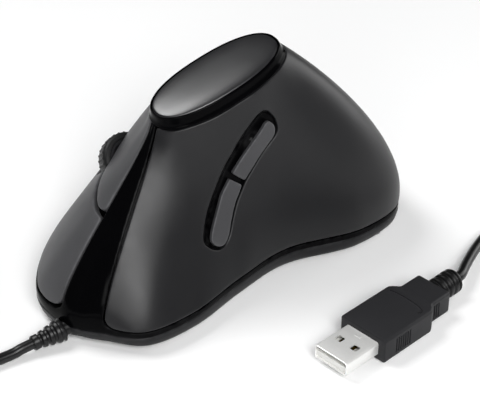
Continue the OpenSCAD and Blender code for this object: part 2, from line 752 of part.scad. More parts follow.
module micro_switch(x) {
    finger_frame() translate([x, switch_y, board_top]) {
        translate([-switch_w / 2, -switch_l / 2, rest])
            cube([switch_w, switch_l, switch_h]);
        translate([-nub_w / 2, -nub_l / 2, switch_h])
            cube([nub_w, nub_l, nub_h]);
    }
}
module index_switch() {
    color("#26262a") micro_switch(index_x);
}
module middle_switch() {
    color("#26262a") micro_switch(middle_x);
}
board_x0 = -15.5;
board_x1 = 15;
board_y0 = -24;
board_y1 = 11.5;
module finger_pcb() {
    color("#1d5a35") finger_frame()
        difference() {
            translate([board_x0, board_y0, board_top - board_t])
                cube([board_x1 - board_x0, board_y1 - board_y0, board_t]);
            for (s = [-1, 1])
                translate([s * pin_x, 0, board_top - 2 * board_t])
                    cylinder(r = pin_r + axle_gap, h = 3 * board_t, $fn = round_n);
        }
}

// thumb board behind the thumb buttons
thumb_board_in = 9;
thumb_pcb_x = high_at.x + thumb_board_in;
thumb_key_x = thumb_pcb_x - board_t / 2 - key_h - key_nub_h;
thumb_margin = 6;
module thumb_pcb() {
    color("#1d5a35")
        translate([thumb_pcb_x - board_t / 2, high_at.y - thumb_margin, low_at.z - thumb_margin])
            cube([board_t, low_at.y - high_at.y + 2 * thumb_margin, high_at.z - low_at.z + 2 * thumb_margin]);
}
module thumb_switches() {
    color("#202020")
        for (p = [high_at, low_at])
            translate([thumb_pcb_x - board_t / 2 - key_h - rest, p.y, p.z]) {
                translate([0, -key_w / 2, -key_w / 2])
                    cube([key_h, key_w, key_w]);
                rotate([0, -quarter_turn, 0])
                    cylinder(r = key_nub_r, h = key_nub_h - rest, $fn = round_n);
            }
}

// cradle: ribs from the base that carry the thumb board and the finger board
function world_x(x, z) = wheel_at.x + x * cos(finger_tilt) + z * sin(finger_tilt);
function world_z(x, z) = wheel_at.z - x * sin(finger_tilt) + z * cos(finger_tilt);
board_low = board_top - board_t - fit;
cradle_z = floor_z + fit;
cradle_x = thumb_pcb_x + board_t / 2 + fit;
cradle_t = 2;
cradle_plate = 1.5;
rib_thumb_y = high_at.y;
rib_mid_y = low_at.y + cradle_t;
rib_front_y = wheel_at.y + 8;
tower_drop = 3;
tower_z = high_at.z - tower_drop;
tower_step = 8;
tower_w = 2;
stay_w = 1.5;
// corners under the finger board where the ribs meet it
board_ends = [board_x0 + 0.5, board_x0 + 3, board_x1 - 1];
function under_board(x) = [world_x(x, board_low), world_z(x, board_low)];
module cradle_rib(y, outline) {
    translate([0, y + cradle_t / 2, 0]) rotate([90, 0, 0])
        linear_extrude(cradle_t) polygon(outline);
}
module cradle() {
    color("#1f1f21") {
        translate([cradle_x, rib_thumb_y - cradle_t / 2, cradle_z])
            cube([under_board(board_x1).x - cradle_x, rib_front_y - rib_thumb_y + cradle_t, cradle_plate]);
        cradle_rib(rib_thumb_y, [[cradle_x, cradle_z], [cradle_x, tower_z], [cradle_x + tower_w, tower_z],
            [cradle_x + 4 * tower_w, cradle_z]]);
        cradle_rib(rib_mid_y, [[cradle_x, cradle_z], [cradle_x, tower_z - tower_step],
            [cradle_x + stay_w, tower_z - tower_step], [cradle_x + stay_w, under_board(board_ends[0]).y],
            under_board(board_ends[0]), under_board(board_ends[2]),
            [under_board(board_ends[2]).x, cradle_z]]);
        cradle_rib(rib_front_y, [[cradle_x + 2 * stay_w, cradle_z], under_board(board_ends[1]),
            under_board(board_ends[2]), [under_board(board_ends[2]).x, cradle_z]]);
    }
}

// main board with its parts, and the sensor's lens over the window in the base
main_x0 = -13;
main_x1 = 19;
main_y0 = -47;
main_y1 = -8;
eye_w = 5;
module main_pcb() {
    color("#1d5a35") difference() {
        translate([main_x0, main_y0, board_z + rest])
            cube([main_x1 - main_x0, main_y1 - main_y0, board_t]);
        translate(sensor_at + [0, 0, board_z])
            cube([eye_w, eye_w, 4 * board_t], center = true);
    }
}
part_z = board_z + board_t + fit;
sensor_size = [10, 12, 2.4];
chip_size = [8, 10, 1.6];
chip_at = [8, -38];
can_at = [-8, -34];
can_r = 2.5;
can_h = 7;
connector_size = [8, 5, 5];
connector_at = [-8, -17];
module part_box(middle, size) {
    translate([middle.x - size.x / 2, middle.y - size.y / 2, part_z])
        cube(size);
}
module board_parts() {
    color("#19191a") {
        part_box(sensor_at, sensor_size);
        part_box(chip_at + [chip_size.x, chip_size.y] / 2, chip_size);
        part_box(connector_at, connector_size);
        translate([can_at.x, can_at.y, part_z])
            cylinder(r = can_r, h = can_h, $fn = round_n);
    }
}
lens_gap = 0.2;
lens_lift = 0.3;
lens_flange = [14, 16, 1.6];
stem_w = 4.4;
stem_low = 1;
module lens_box(w, l, z, h) {
    translate([sensor_at.x - w / 2, sensor_at.y - l / 2, z])
        cube([w, l, h]);
}
module sensor_lens() {
    color("#d8dde0", 0.5) {
        lens_box(window_w - 2 * lens_gap, window_l - 2 * lens_gap, base_z + lens_lift, floor_z - base_z);
        lens_box(lens_flange.x, lens_flange.y, floor_z + fit, lens_flange.z);
        lens_box(stem_w, stem_w, floor_z + stem_low, board_z + board_t - floor_z - stem_low);
    }
}

// cord: boot on the base, free lead, coil with its tie, free tail and the plug's boot
relief_x = -17.4;
relief_u = 13.85;
relief_y = shell(relief_u, 0).y;
relief_z = 3.75;
relief_dip = 6;
relief_l = 9.8;
relief_r0 = 3.55;
relief_r1 = 2.3;
relief_root = 3;
relief_neck_r = 2.2;
relief_rings = 3;
relief_bite = 0.4;
relief_lift = 0.15;
boot_groove = 0.45;
boot_edge = 0.02;
cord_r = cord_d / 2;
relief_tip = [relief_x, relief_y + relief_l * cos(relief_dip), relief_z - relief_l * sin(relief_dip)];
function boot_r(s, r0, r1, n) = r0 + (r1 - r0) * s - (floor(s * 2 * n) % 2 == 1 ? boot_groove : 0);
// ringed boot along +z, with a bore for the cord
module boot(r0, r1, l, n) {
    steps = [for (k = [0:2 * n - 1]) for (e = [boot_edge, 1 - boot_edge]) (k + e) / (2 * n)];
    rotate_extrude($fn = round_n)
        polygon(concat([[cord_r + rest, 0], [r0, 0]], [for (s = steps) [boot_r(s, r0, r1, n), s * l]],
            [[cord_r + rest, l]]));
}
module relief_hole() {
    translate([relief_x, relief_y, relief_z])
        rotate([-quarter_turn - relief_dip, 0, 0]) translate([0, 0, -relief_root])
            cylinder(r = relief_neck_r + head_room, h = 3 * relief_root, center = true, $fn = hole_n);
}
module cord_relief() {
    color("#121213") translate([relief_x, relief_y, relief_z]) rotate([-quarter_turn - relief_dip, 0, 0]) {
        translate([0, 0, relief_lift])
            boot(relief_r0, relief_r1, relief_l - relief_lift, relief_rings);
        translate([0, 0, -relief_root]) difference() {
            cylinder(r = relief_neck_r, h = relief_root + relief_bite, $fn = round_n);
            translate([0, 0, -cut_over])
                cylinder(r = cord_r + rest, h = relief_root + 2 * cut_over, $fn = round_n);
        }
    }
}
lie_z = cord_r;
relief_way = [0, cos(relief_dip), -sin(relief_dip)];
// places that the inner lead passes on its way to the connector
inner_way = [[relief_x, 30, 4.4], [relief_x, 10, 4.4], [-15, -2, 6], [-11, -9, 10.5]];
inner_route = concat([relief_tip - (relief_l + relief_root + drive_w) * relief_way,
    [relief_x, relief_y - 3 * relief_root, 4.6]], inner_way,
    [[connector_at.x, connector_at.y + connector_size.y / 2 + 1, 11]]);
route_steps = 3;
cord_n = 8;
coil_n = 6;
module inner_cable() {
    color("#121213") tube(route(inner_route, route_steps), cord_r - fit, cord_n);
}

// coil of the put-away length, wound clockwise seen from above
coil_c = [-89, 95];
coil_start = -33;
coil_mean_r = 15.5;
coil_layers = 4;
layer_turns = 3;
wind_turns = 2.5;
coil_turns = coil_layers * layer_turns;
coil_out = coil_mean_r + coil_pitch * wind_turns / 2;
coil_in = coil_out - coil_pitch * wind_turns;
tie_a = 150;
tie_w = 5;
tie_t = 0.6;
tie_gap = 0.25;
tie_slack = 0.3;
coil_z = lie_z + tie_t + tie_gap;
loop_rings = 24;
function coil_point(k) =
    let (turn = k / loop_rings,
        layer = min(floor(turn / layer_turns), coil_layers - 1),
        s = turn - layer * layer_turns,
        wound = layer == coil_layers - 1 ? s : min(s, wind_turns),
        r = layer % 2 == 0 ? coil_out - coil_pitch * wound : coil_in + coil_pitch * wound,
        climb = layer == coil_layers - 1 ? 0 : ease(max(0, s - wind_turns) / (layer_turns - wind_turns)),
        a = coil_start - full_turn * turn)
    [coil_c.x + r * cos(a), coil_c.y + r * sin(a), coil_z + coil_rise * (layer + climb)];
COIL = [for (k = [0:coil_turns * loop_rings]) coil_point(k)];
coil_gap = min([for (i = [0:len(COIL) - 1]) for (j = [i + loop_rings / 2:len(COIL) - 1])
    norm(COIL[i] - COIL[j])]) - cord_d;
echo("least gap between the turns of the coil", coil_gap);
module cord_coil() {
    color("#121213") tube(COIL, cord_r, coil_n);
}
module cord_tie() {
    low = coil_z - cord_r - tie_gap;
    high = coil_z + (coil_layers - 1) * coil_rise + cord_r + tie_gap;
    r0 = coil_in - cord_r - tie_gap - tie_slack;
    r1 = coil_out + coil_pitch / 2 + cord_r + tie_gap;
    color("#1a1a1b") translate([coil_c.x, coil_c.y, 0]) rotate([quarter_turn, 0, tie_a])
        linear_extrude(tie_w, center = true) difference() {
            polygon([[r0 - tie_t, low - tie_t], [r1 + tie_t, low - tie_t], [r1 + tie_t, high + tie_t],
                [r0 - tie_t, high + tie_t]]);
            polygon([[r0, low], [r1, low], [r1, high], [r0, high]]);
        }
}
// place of the plug, its origin under the middle of the grip's front face
plug_at = [-68, -8, 0];
plug_yaw = 11;
grip_l = 20;
neck_l = 2.5;
head_l = 8.6;
head_w = 12.3;
head_inset = 0.35;
plug_back = grip_l + neck_l + head_l;
boot_l = 9;
boot_r0 = 3.8;
boot_r1 = 3.9;
boot_rings = 3;
plug_mid = plug_h / 2;
plug_way = [-sin(plug_yaw), cos(plug_yaw), 0];
plug_end = plug_at + [0, 0, plug_mid] - (plug_back + boot_l) * plug_way;
joint_gap = 0.25;
coil_first = COIL[0];
coil_last = COIL[len(COIL) - 1];
coil_way = unit(COIL[1] - COIL[0]);
tail_way = unit(coil_last - COIL[len(COIL) - 2]);
// straight lengths of cord at the boot, the coil and the plug
straight = 3.4;
coil_run = 9;
coil_dip = 0.4;
// places that the free lengths pass, from the boot to the coil and from the coil to the plug
lead_floor = [[-18, 95], [-24, 104], [-33, 110], [-43.5, 112], [-54, 109]];
lead_way = concat([[relief_x, 77, 1.8], [relief_x, 84, lie_z]],
    [for (p = lead_floor) [p.x, p.y, lie_z]], [[-62, 101.5, 1.8]]);
tail_drop = [[-77, 72.5, 12.6], [-82, 62, 9], [-87, 51.5, 4.6], [-92, 40.5, 2]];
tail_floor = [[-97.5, 28.5], [-104, 13], [-110, -3], [-114, -19], [-112, -35], [-104, -51], [-93, -66],
    [-80, -80], [-66, -90], [-53, -91], [-45.5, -83]];
tail_climb = [[-46, -73.5, 2.1], [-50.5, -64.5, 2.9], [-56, -56, 3.6]];
lead_route = concat([relief_tip + joint_gap * relief_way, relief_tip + straight * relief_way], lead_way,
    [coil_first - coil_run * coil_way - [0, 0, coil_dip], coil_first - straight * coil_way,
    coil_first - joint_gap * coil_way]);
tail_route = concat([coil_last + joint_gap * tail_way, coil_last + straight * tail_way], tail_drop,
    [for (p = tail_floor) [p.x, p.y, lie_z]], tail_climb,
    [plug_end - straight * plug_way, plug_end - joint_gap * plug_way]);
module cord_lead() {
    color("#121213") tube(route(lead_route, route_steps), cord_r, cord_n);
}
module cord_tail() {
    color("#121213") tube(route(tail_route, route_steps), cord_r, cord_n);
}

// plug: grip, head, boot and metal shell with its tongue and contacts, +y out of the shell
edge = 0.8;
groove_n = 7;
head_groove_n = 3;
groove_pitch = 0.95;
groove_w = 0.45;
groove_depth = 0.4;
groove_h = plug_h - 3;
groove_y = 5;
head_groove_y = 1.6;
neck_flare = 0.6;
module plug_frame() {
    translate(plug_at) rotate([0, 0, plug_yaw]) children();
}
module plug_grooves(y, n, x) {
    for (k = [0:n - 1])
        for (s = [-1, 1])
            translate([s * x, y - k * groove_pitch, plug_mid])
                cube([2 * groove_depth, groove_w, groove_h], center = true);
}
module plug_body() {
    w = plug_w / 2;
    v = head_w / 2;
    neck_y = -grip_l - neck_l;
    color("#131314") plug_frame() difference() {
        intersection() {
            linear_extrude(plug_h)
                polygon([[-w + edge, 0], [w - edge, 0], [w, -edge], [w, -grip_l], [v + neck_flare, neck_y],
                    [v, neck_y - edge], [v, -plug_back], [-v, -plug_back],
                    [-v, neck_y - edge], [-v - neck_flare, neck_y], [-w, -grip_l], [-w, -edge]]);
            rotate([quarter_turn, 0, quarter_turn]) linear_extrude(2 * plug_w, center = true)
                polygon([[0, edge], [-edge, 0], [-plug_back + edge, 0], [-plug_back, head_inset],
                    [-plug_back, plug_h - head_inset], [neck_y, plug_h - head_inset],
                    [-grip_l, plug_h], [-edge, plug_h], [0, plug_h - edge]]);
            rotate([quarter_turn, 0, 0]) linear_extrude(3 * plug_back, center = true)
                polygon([[-w + edge, 0], [w - edge, 0], [w, edge], [w, plug_h - edge], [w - edge, plug_h],
                    [-w + edge, plug_h], [-w, plug_h - edge], [-w, edge]]);
        }
        plug_grooves(-groove_y, groove_n, w);
        plug_grooves(neck_y - head_groove_y, head_groove_n, v);
    }
}
module plug_relief() {
    color("#121213") plug_frame() translate([0, -plug_back - fit, plug_mid])
        rotate([quarter_turn, 0, 0]) boot(boot_r0, boot_r1, boot_l - fit, boot_rings);
}
window = 2.4;
window_x = 2.9;
window_y = 6.4;
module plug_shell() {
    color("#c9cccf") plug_frame() translate([0, rest, plug_mid]) difference() {
        translate([-shell_w / 2, 0, -shell_h / 2])
            cube([shell_w, shell_l, shell_h]);
        translate([-shell_w / 2 + shell_t, shell_t, -shell_h / 2 + shell_t])
            cube([shell_w - 2 * shell_t, shell_l, shell_h - 2 * shell_t]);
        for (s = [-1, 1])
            translate([s * window_x, window_y, 0])
                cube([window, window, 2 * shell_h], center = true);
    }
}
tongue_in = 1;
plug_tongue_h = 1.9;
tongue_z = plug_mid - shell_h / 2 + shell_t + rest;
module plug_tongue() {
    color("#e8e8e6") plug_frame()
        translate([-shell_w / 2 + shell_t + rest, shell_t + fit, tongue_z])
            cube([shell_w - 2 * (shell_t + rest), shell_l - tongue_in, plug_tongue_h]);
}
contact_long_x = 3.5;
contact_short_x = 1;
contact_w = 1;
contact_t = 0.15;
contact_long = 8.8;
contact_short = 7.6;
contact_y = shell_t + tongue_in;
contact_z = tongue_z + plug_tongue_h + rest / 5;
module plug_contact(x, l) {
    for (s = [-1, 1])
        translate([s * x - contact_w / 2, contact_y, contact_z])
            cube([contact_w, l, contact_t]);
}
module plug_contacts() {
    color("#d8b25a") plug_frame() {
        plug_contact(contact_long_x, contact_long);
        plug_contact(contact_short_x, contact_short);
    }
}

base_cover();
glide_feet();
case_screws();
frame_shell();
grip_shell();
top_rim();
top_cap();
index_button();
middle_button();
thumb_bezel();
thumb_button_high();
thumb_button_low();
wheel_hub();
wheel_tyre();
wheel_carrier();
wheel_encoder();
wheel_switch();
finger_pcb();
index_switch();
middle_switch();
thumb_pcb();
thumb_switches();
cradle();
main_pcb();
board_parts();
sensor_lens();
inner_cable();
cord_relief();
cord_lead();
cord_coil();
cord_tie();
cord_tail();
plug_relief();
plug_body();
plug_shell();
plug_tongue();
plug_contacts();
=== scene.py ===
"""Wired vertical mouse for the right hand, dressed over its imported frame."""

import json
import logging
import math
from dataclasses import dataclass, field
from enum import Enum
from typing import Sequence, Union

import bmesh
import bpy
import numpy as np
from mathutils import Matrix, Vector
from mathutils.geometry import delaunay_2d_cdt


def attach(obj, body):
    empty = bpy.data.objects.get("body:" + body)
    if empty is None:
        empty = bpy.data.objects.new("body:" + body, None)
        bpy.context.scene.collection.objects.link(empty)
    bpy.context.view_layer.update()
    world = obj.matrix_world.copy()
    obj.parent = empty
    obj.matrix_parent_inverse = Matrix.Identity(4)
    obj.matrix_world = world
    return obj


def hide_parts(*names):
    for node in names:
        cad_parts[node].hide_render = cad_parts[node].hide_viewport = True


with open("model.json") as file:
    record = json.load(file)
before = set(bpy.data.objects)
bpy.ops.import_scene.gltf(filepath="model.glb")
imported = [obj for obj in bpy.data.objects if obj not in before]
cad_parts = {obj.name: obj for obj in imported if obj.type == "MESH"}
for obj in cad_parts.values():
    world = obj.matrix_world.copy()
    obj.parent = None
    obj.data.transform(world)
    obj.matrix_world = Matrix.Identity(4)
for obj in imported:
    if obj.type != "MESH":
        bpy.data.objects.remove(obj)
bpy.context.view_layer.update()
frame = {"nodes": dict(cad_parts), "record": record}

LOG = logging.getLogger("mouse")
MM = 0.001
CREASE = 38.0
METAL_CREASE = 30.0
PLUG_TURN = 11.0
Array = np.ndarray
Profile = Sequence[tuple[float, float]]
Value = Union["Sock", float]


class Body(str, Enum):
    """Moving bodies of the mouse."""

    MOUSE = "mouse"
    INDEX = "index_key"
    MIDDLE = "middle_key"
    THUMB_HIGH = "thumb_key_high"
    THUMB_LOW = "thumb_key_low"
    WHEEL = "wheel"


class Ends(Enum):
    """How a row of rings is closed."""

    FANS = "fans"
    LOOP = "loop"


def linear(code: str) -> tuple[float, float, float, float]:
    """Turn a hex colour into linear light.

    Args:
        code: Colour as #rrggbb.

    Returns:
        Red, green, blue and an alpha of one.
    """
    parts = [int(code[k:k + 2], 16) / 255 for k in (1, 3, 5)]
    red, green, blue = [c / 12.92 if c <= 0.04045 else ((c + 0.055) / 1.055) ** 2.4 for c in parts]
    return red, green, blue, 1.0


class Sock:
    """Shader value that works in plain expressions."""

    def __init__(self, wiring: "Wiring", socket: bpy.types.NodeSocket) -> None:
        """Keep the wiring and the socket."""
        self.wiring = wiring
        self.socket = socket

    def _math(self, operation: str, first: Value, second: Value) -> "Sock":
        """Add one Math node.

        Args:
            operation: Math node operation.
            first: First value.
            second: Second value.

        Returns:
            The result.
        """
        return self.wiring.node("ShaderNodeMath", {"operation": operation}, {0: first, 1: second})

    def __add__(self, other: Value) -> "Sock":
        """Sum."""
        return self._math("ADD", self, other)

    __radd__ = __add__

    def __sub__(self, other: Value) -> "Sock":
        """Difference."""
        return self._math("SUBTRACT", self, other)

    def __rsub__(self, other: Value) -> "Sock":
        """Difference from a number."""
        return self._math("SUBTRACT", other, self)

    def __mul__(self, other: Value) -> "Sock":
        """Product."""
        return self._math("MULTIPLY", self, other)

    __rmul__ = __mul__

    def __or__(self, other: "Sock") -> "Sock":
        """Larger of two masks."""
        return self._math("MAXIMUM", self, other)

    def step(self, low: float, high: float) -> "Sock":
        """Smooth step from zero at low to one at high."""
        return self.wiring.node("ShaderNodeMapRange", {"interpolation_type": "SMOOTHSTEP"},
                                {"Value": self, "From Min": low, "From Max": high})


class Wiring:
    """Node tree whose nodes all come from one method."""

    def __init__(self, tree: bpy.types.NodeTree) -> None:
        """Keep the tree."""
        self.tree = tree

    def node(self, kind: str, settings: dict | None = None, sockets: dict | None = None,
             out: int | str = 0) -> Sock:
        """Add a node.

        Args:
            kind: Node type.
            settings: Node properties, set first.
            sockets: Values or links by socket name or number.
            out: Output that is handed on.

        Returns:
            The chosen output.
        """
        made = self.tree.nodes.new(kind)
        for key, value in (settings or {}).items():
            setattr(made, key, value)
        for key, value in (sockets or {}).items():
            for one in value if isinstance(value, list) else [value]:
                if isinstance(one, Sock):
                    self.tree.links.new(one.socket, made.inputs[key])
                else:
                    made.inputs[key].default_value = one
        return Sock(self, made.outputs[out]) if made.outputs else Sock(self, None)

    def mix(self, factor: Value, first: object, second: object) -> Sock:
        """Mix two colours.

        Args:
            factor: Share of the second colour.
            first: Colour or socket.
            second: Colour or socket.

        Returns:
            The mixed colour.
        """
        return self.node("ShaderNodeMix", {"data_type": "RGBA"}, {0: factor, 6: first, 7: second}, out=2)


@dataclass(frozen=True)
class Finish:
    """Look of one surface: colour, gloss, the grain of its mould, and pale edges that are partly wear and
    partly a painted highlight.

    Lengths are in millimetres, those of clouds, flecks, spots of rubbed wear and painted highlight, and
    handling marks too.
    """

    name: str
    colour: str
    roughness: float = 0.5
    specular: float = 0.5
    metallic: float = 0.0
    grain: float = 0.16
    grain_depth: float = 0.004
    drift: float = 0.08
    smudge: float = 0.06
    wear: float = 0.25
    sheen: float = 0.0

    CLOUD, FLECK, RUB, MARK = 14.0, 0.5, 3.0, 9.0

    def material(self) -> bpy.types.Material:
        """Return the material, made on first use."""
        known = bpy.data.materials.get(self.name)
        return known if known else self._make()

    def _make(self) -> bpy.types.Material:
        """Build the node tree.

        Returns:
            The new material.
        """
        made = bpy.data.materials.new(self.name)
        made.use_nodes = True
        made.node_tree.nodes.clear()
        wiring = Wiring(made.node_tree)
        place = wiring.node("ShaderNodeTexCoord", out="Object")
        colour = self.paint(wiring, place)
        shader = wiring.node("ShaderNodeBsdfPrincipled", None, {
            "Base Color": colour, "Roughness": self.gloss(wiring, place), "Metallic": self.metallic,
            "Specular IOR Level": self.specular, "Sheen Weight": self.sheen,
            "Normal": self.relief(wiring, place)})
        wiring.node("ShaderNodeOutputMaterial", None, {"Surface": shader})
        made.diffuse_color = linear(self.colour)
        return made

    def noise(self, wiring: Wiring, place: Sock, size: float, detail: float = 2.0) -> Sock:
        """Noise of a given size in millimetres, between zero and one."""
        return wiring.node("ShaderNodeTexNoise", None,
                           {"Vector": place, "Scale": 1 / (size * MM), "Detail": detail, "Roughness": 0.55})

    def paint(self, wiring: Wiring, place: Sock) -> Sock:
        """Colour that drifts a little and pales along edges: partly rubbed wear, partly a painted highlight.

        Args:
            wiring: Tree of the material.
            place: Object coordinates.

        Returns:
            The colour.
        """
        base = linear(self.colour)
        dark = tuple(c * (1 - self.drift) for c in base[:3]) + (1.0,)
        pale = tuple(min(1.0, c * (1 + self.drift)) for c in base[:3]) + (1.0,)
        # Paler copy of the colour for edges: partly rubbed wear, partly a painted highlight.
        rubbed_and_highlight = tuple(min(1.0, c * 1.7 + 0.012) for c in base[:3]) + (1.0,)
        cloud = self.noise(wiring, place, self.CLOUD, 3.0).step(0.3, 0.7)
        fleck = self.noise(wiring, place, self.FLECK).step(0.35, 0.75)
        body = wiring.mix(cloud * 0.65 + fleck * 0.35, dark, pale)
        edge = wiring.node("ShaderNodeAttribute", {"attribute_name": "wear"}, None, out="Fac")
        # Edge weight times patchy noise: rubbed wear and painted edge highlight together.
        rub_and_highlight = edge * self.noise(wiring, place, self.RUB).step(0.3, 0.62) * self.wear
        return wiring.mix(rub_and_highlight, body, rubbed_and_highlight)

    def gloss(self, wiring: Wiring, place: Sock) -> Sock:
        """Roughness with faint handling marks."""
        marks = self.noise(wiring, place, self.MARK, 4.0)
        return (marks - 0.5) * (2 * self.smudge) + self.roughness

    def relief(self, wiring: Wiring, place: Sock) -> Sock:
        """Fine bump of the moulded grain."""
        grain = self.noise(wiring, place, self.grain)
        return wiring.node("ShaderNodeBump", None,
                           {"Strength": 0.5, "Distance": self.grain_depth * MM, "Height": grain})


@dataclass(frozen=True)
class Brushed(Finish):
    """Plated sheet metal with fine lines along the draw."""

    turn: float = 0.0

    def relief(self, wiring: Wiring, place: Sock) -> Sock:
        """Fine lines along the plug.

        Args:
            wiring: Tree of the material.
            place: Object coordinates.

        Returns:
            The normal.
        """
        laid = wiring.node("ShaderNodeMapping", {"vector_type": "TEXTURE"},
                           {"Vector": place, "Rotation": (0.0, 0.0, math.radians(self.turn)),
                            "Scale": (1.0, 18.0, 1.0)})
        lines = self.noise(wiring, laid, self.grain)
        return wiring.node("ShaderNodeBump", None,
                           {"Strength": 0.35, "Distance": self.grain_depth * MM, "Height": lines})


@dataclass(frozen=True)
class Board(Finish):
    """Circuit board: solder mask with copper tracks under it."""

    track: float = 1.1

    def paint(self, wiring: Wiring, place: Sock) -> Sock:
        """Mask colour with paler tracks.

        Args:
            wiring: Tree of the material.
            place: Object coordinates.

        Returns:
            The colour.
        """
        body = Finish.paint(self, wiring, place)
        tracks = wiring.node("ShaderNodeTexBrick", {"offset": 0.37}, {
            "Vector": place, "Scale": 1 / (self.track * 8 * MM), "Mortar Size": 0.012,
            "Brick Width": 0.55, "Row Height": 0.16}, out="Fac")
        return wiring.mix(tracks * 0.75, body, linear("#3f8a55"))


@dataclass(frozen=True)
class Clear(Finish):
    """Clear moulded lens."""

    def _make(self) -> bpy.types.Material:
        """Build a clear shader with a faint haze.

        Returns:
            The new material.
        """
        made = Finish._make(self)
        for node in made.node_tree.nodes:
            if node.type == "BSDF_PRINCIPLED":
                node.inputs["Transmission Weight"].default_value = 0.85
                node.inputs["IOR"].default_value = 1.49
        return made


@dataclass(frozen=True)
class Palette:
    """Finishes of the mouse by material slot."""

    soft_grip: Finish = Finish("grip soft coat", "#141416", 0.42, 0.38, grain=0.14, wear=0.5)
    finger_grey: Finish = Finish("finger satin grey", "#444446", 0.45, 0.25, grain=0.12, wear=0.4)
    thumb_grey: Finish = Finish("thumb satin grey", "#404042", 0.46, 0.3, grain=0.12, wear=0.6)
    cap_grey: Finish = Finish("cap satin grey", "#1c1c1e", 0.31, 0.9, grain=0.12, wear=0.5)
    gloss_black: Finish = Finish("gloss black", "#050506", 0.14, 0.03, grain=0.9, grain_depth=0.0012,
                                 drift=0.1, smudge=0.04, wear=0.5)
    base_black: Finish = Finish("base satin black", "#121214", 0.46, 0.25, grain=0.16, wear=0.6)
    foot_plastic: Finish = Finish("glide foot", "#38383b", 0.34, 0.5, grain=0.5, grain_depth=0.006)
    screw_steel: Finish = Finish("screw zinc", "#9b9da0", 0.34, 0.5, 1.0, grain=0.3, drift=0.12,
                                 smudge=0.1)
    wheel_plastic: Finish = Finish("wheel hub grey", "#1c1c1e", 0.3, 0.4, grain=0.2, wear=0.6)
    tyre_rubber: Finish = Finish("tyre rubber", "#0c0c0d", 0.5, 0.3, sheen=0.05, grain=0.18,
                                 grain_depth=0.008)
    inner_plastic: Finish = Finish("inner frame", "#202022", 0.5)
    encoder_plastic: Finish = Finish("encoder green", "#3a5a46", 0.42)
    switch_black: Finish = Finish("switch case", "#1d1d20", 0.4)
    board_green: Finish = Board("board green", "#1d5a35", 0.36, 0.5, drift=0.12)
    lens_clear: Finish = Clear("sensor lens", "#dfe4e6", 0.08, smudge=0.02, drift=0.02)
    cord_sheath: Finish = Finish("cord sheath", "#0b0b0c", 0.34, 0.4, grain=0.3, grain_depth=0.006,
                                 drift=0.15)
    boot_rubber: Finish = Finish("boot rubber", "#0b0b0c", 0.36, 0.35, grain=0.2, grain_depth=0.006,
                                 wear=0.5)
    tie_black: Finish = Finish("tie strap", "#1a1a1c", 0.8, 0.3, sheen=0.3, grain=0.35, grain_depth=0.06)
    plug_black: Finish = Finish("plug overmould", "#252527", 0.5, 0.2, grain=0.2, grain_depth=0.008,
                                wear=0.5)
    plug_steel: Finish = Brushed("plug nickel", "#f0f0ee", 0.36, 0.5, 0.5, grain=0.12, grain_depth=0.002,
                                 drift=0.04, smudge=0.06, turn=PLUG_TURN)
    plug_white: Finish = Finish("plug insulator", "#e6e6e2", 0.45, drift=0.03)
    # Gold darkened below its own colour so the contacts look dark through the shell's windows: partly own
    # colour, partly painted shade.
    contact_brass: Finish = Finish("contact gold darkened as painted shade", "#7a6330", 0.3, 0.5, 1.0, drift=0.06)


PALETTE = Palette()


@dataclass
class Solid:
    """Closed mesh in millimetres with a weight at each point for edge wear and painted edge highlight."""

    points: Array
    faces: list[tuple[int, ...]]
    wear: Array

    def __add__(self, other: "Solid") -> "Solid":
        """Both solids as one mesh."""
        shift = len(self.points)
        faces = self.faces + [tuple(k + shift for k in f) for f in other.faces]
        return Solid(np.vstack([self.points, other.points]), faces, np.concatenate([self.wear, other.wear]))

    def placed(self, place: Matrix) -> "Solid":
        """The solid moved by a matrix in millimetres."""
        turn = np.array(place.to_3x3())
        return Solid(self.points @ turn.T + np.array(place.translation), self.faces, self.wear)


def loft(rings: Sequence[Array], ends: Ends = Ends.FANS) -> Solid:
    """Skin over a row of rings.

    Args:
        rings: Rings with the same number of points.
        ends: Fans over the first and last ring, or a loop from the last to the first.

    Returns:
        The closed solid.
    """
    count, size = len(rings), len(rings[0])
    points = np.vstack(rings)
    rows = count if ends is Ends.LOOP else count - 1
    faces: list[tuple[int, ...]] = []
    for i in range(rows):
        for j in range(size):
            a, b = i * size, ((i + 1) % count) * size
            faces.append((a + j, a + (j + 1) % size, b + (j + 1) % size, b + j))
    if ends is Ends.FANS:
        low, high = len(points), len(points) + 1
        points = np.vstack([points, rings[0].mean(0), rings[-1].mean(0)])
        last = (count - 1) * size
        for j in range(size):
            faces.append((low, (j + 1) % size, j))
            faces.append((high, last + j, last + (j + 1) % size))
    return Solid(points, faces, np.zeros(len(points)))


def revolve(profile: Profile, sides: int = 64, ends: Ends = Ends.LOOP) -> Solid:
    """Turn a profile about z.

    Args:
        profile: Radius and height of each corner.
        sides: Steps round the axis.
        ends: Loop for a ring with a hole, fans for a full body.

    Returns:
        The solid of revolution.
    """
    turn = np.linspace(0, 2 * math.pi, sides, endpoint=False)
    circle = np.stack([np.cos(turn), np.sin(turn), np.zeros(sides)], 1)
    return loft([circle * r + np.array([0, 0, z]) for r, z in profile], ends)


def rounded_rect(half_x: float, half_z: float, radius: float, steps: int = 6) -> Array:
    """Outline of a rounded rectangle in x and z.

    Args:
        half_x: Half width.
        half_z: Half height.
        radius: Corner radius.
        steps: Steps round each corner.

    Returns:
        Points with y at zero.
    """
    out = []
    for k, (sx, sz) in enumerate([(1, 1), (-1, 1), (-1, -1), (1, -1)]):
        for s in range(steps + 1):
            a = math.pi / 2 * (k + s / steps)
            out.append((sx * (half_x - radius) + radius * math.cos(a), 0.0,
                        sz * (half_z - radius) + radius * math.sin(a)))
    return np.array(out)


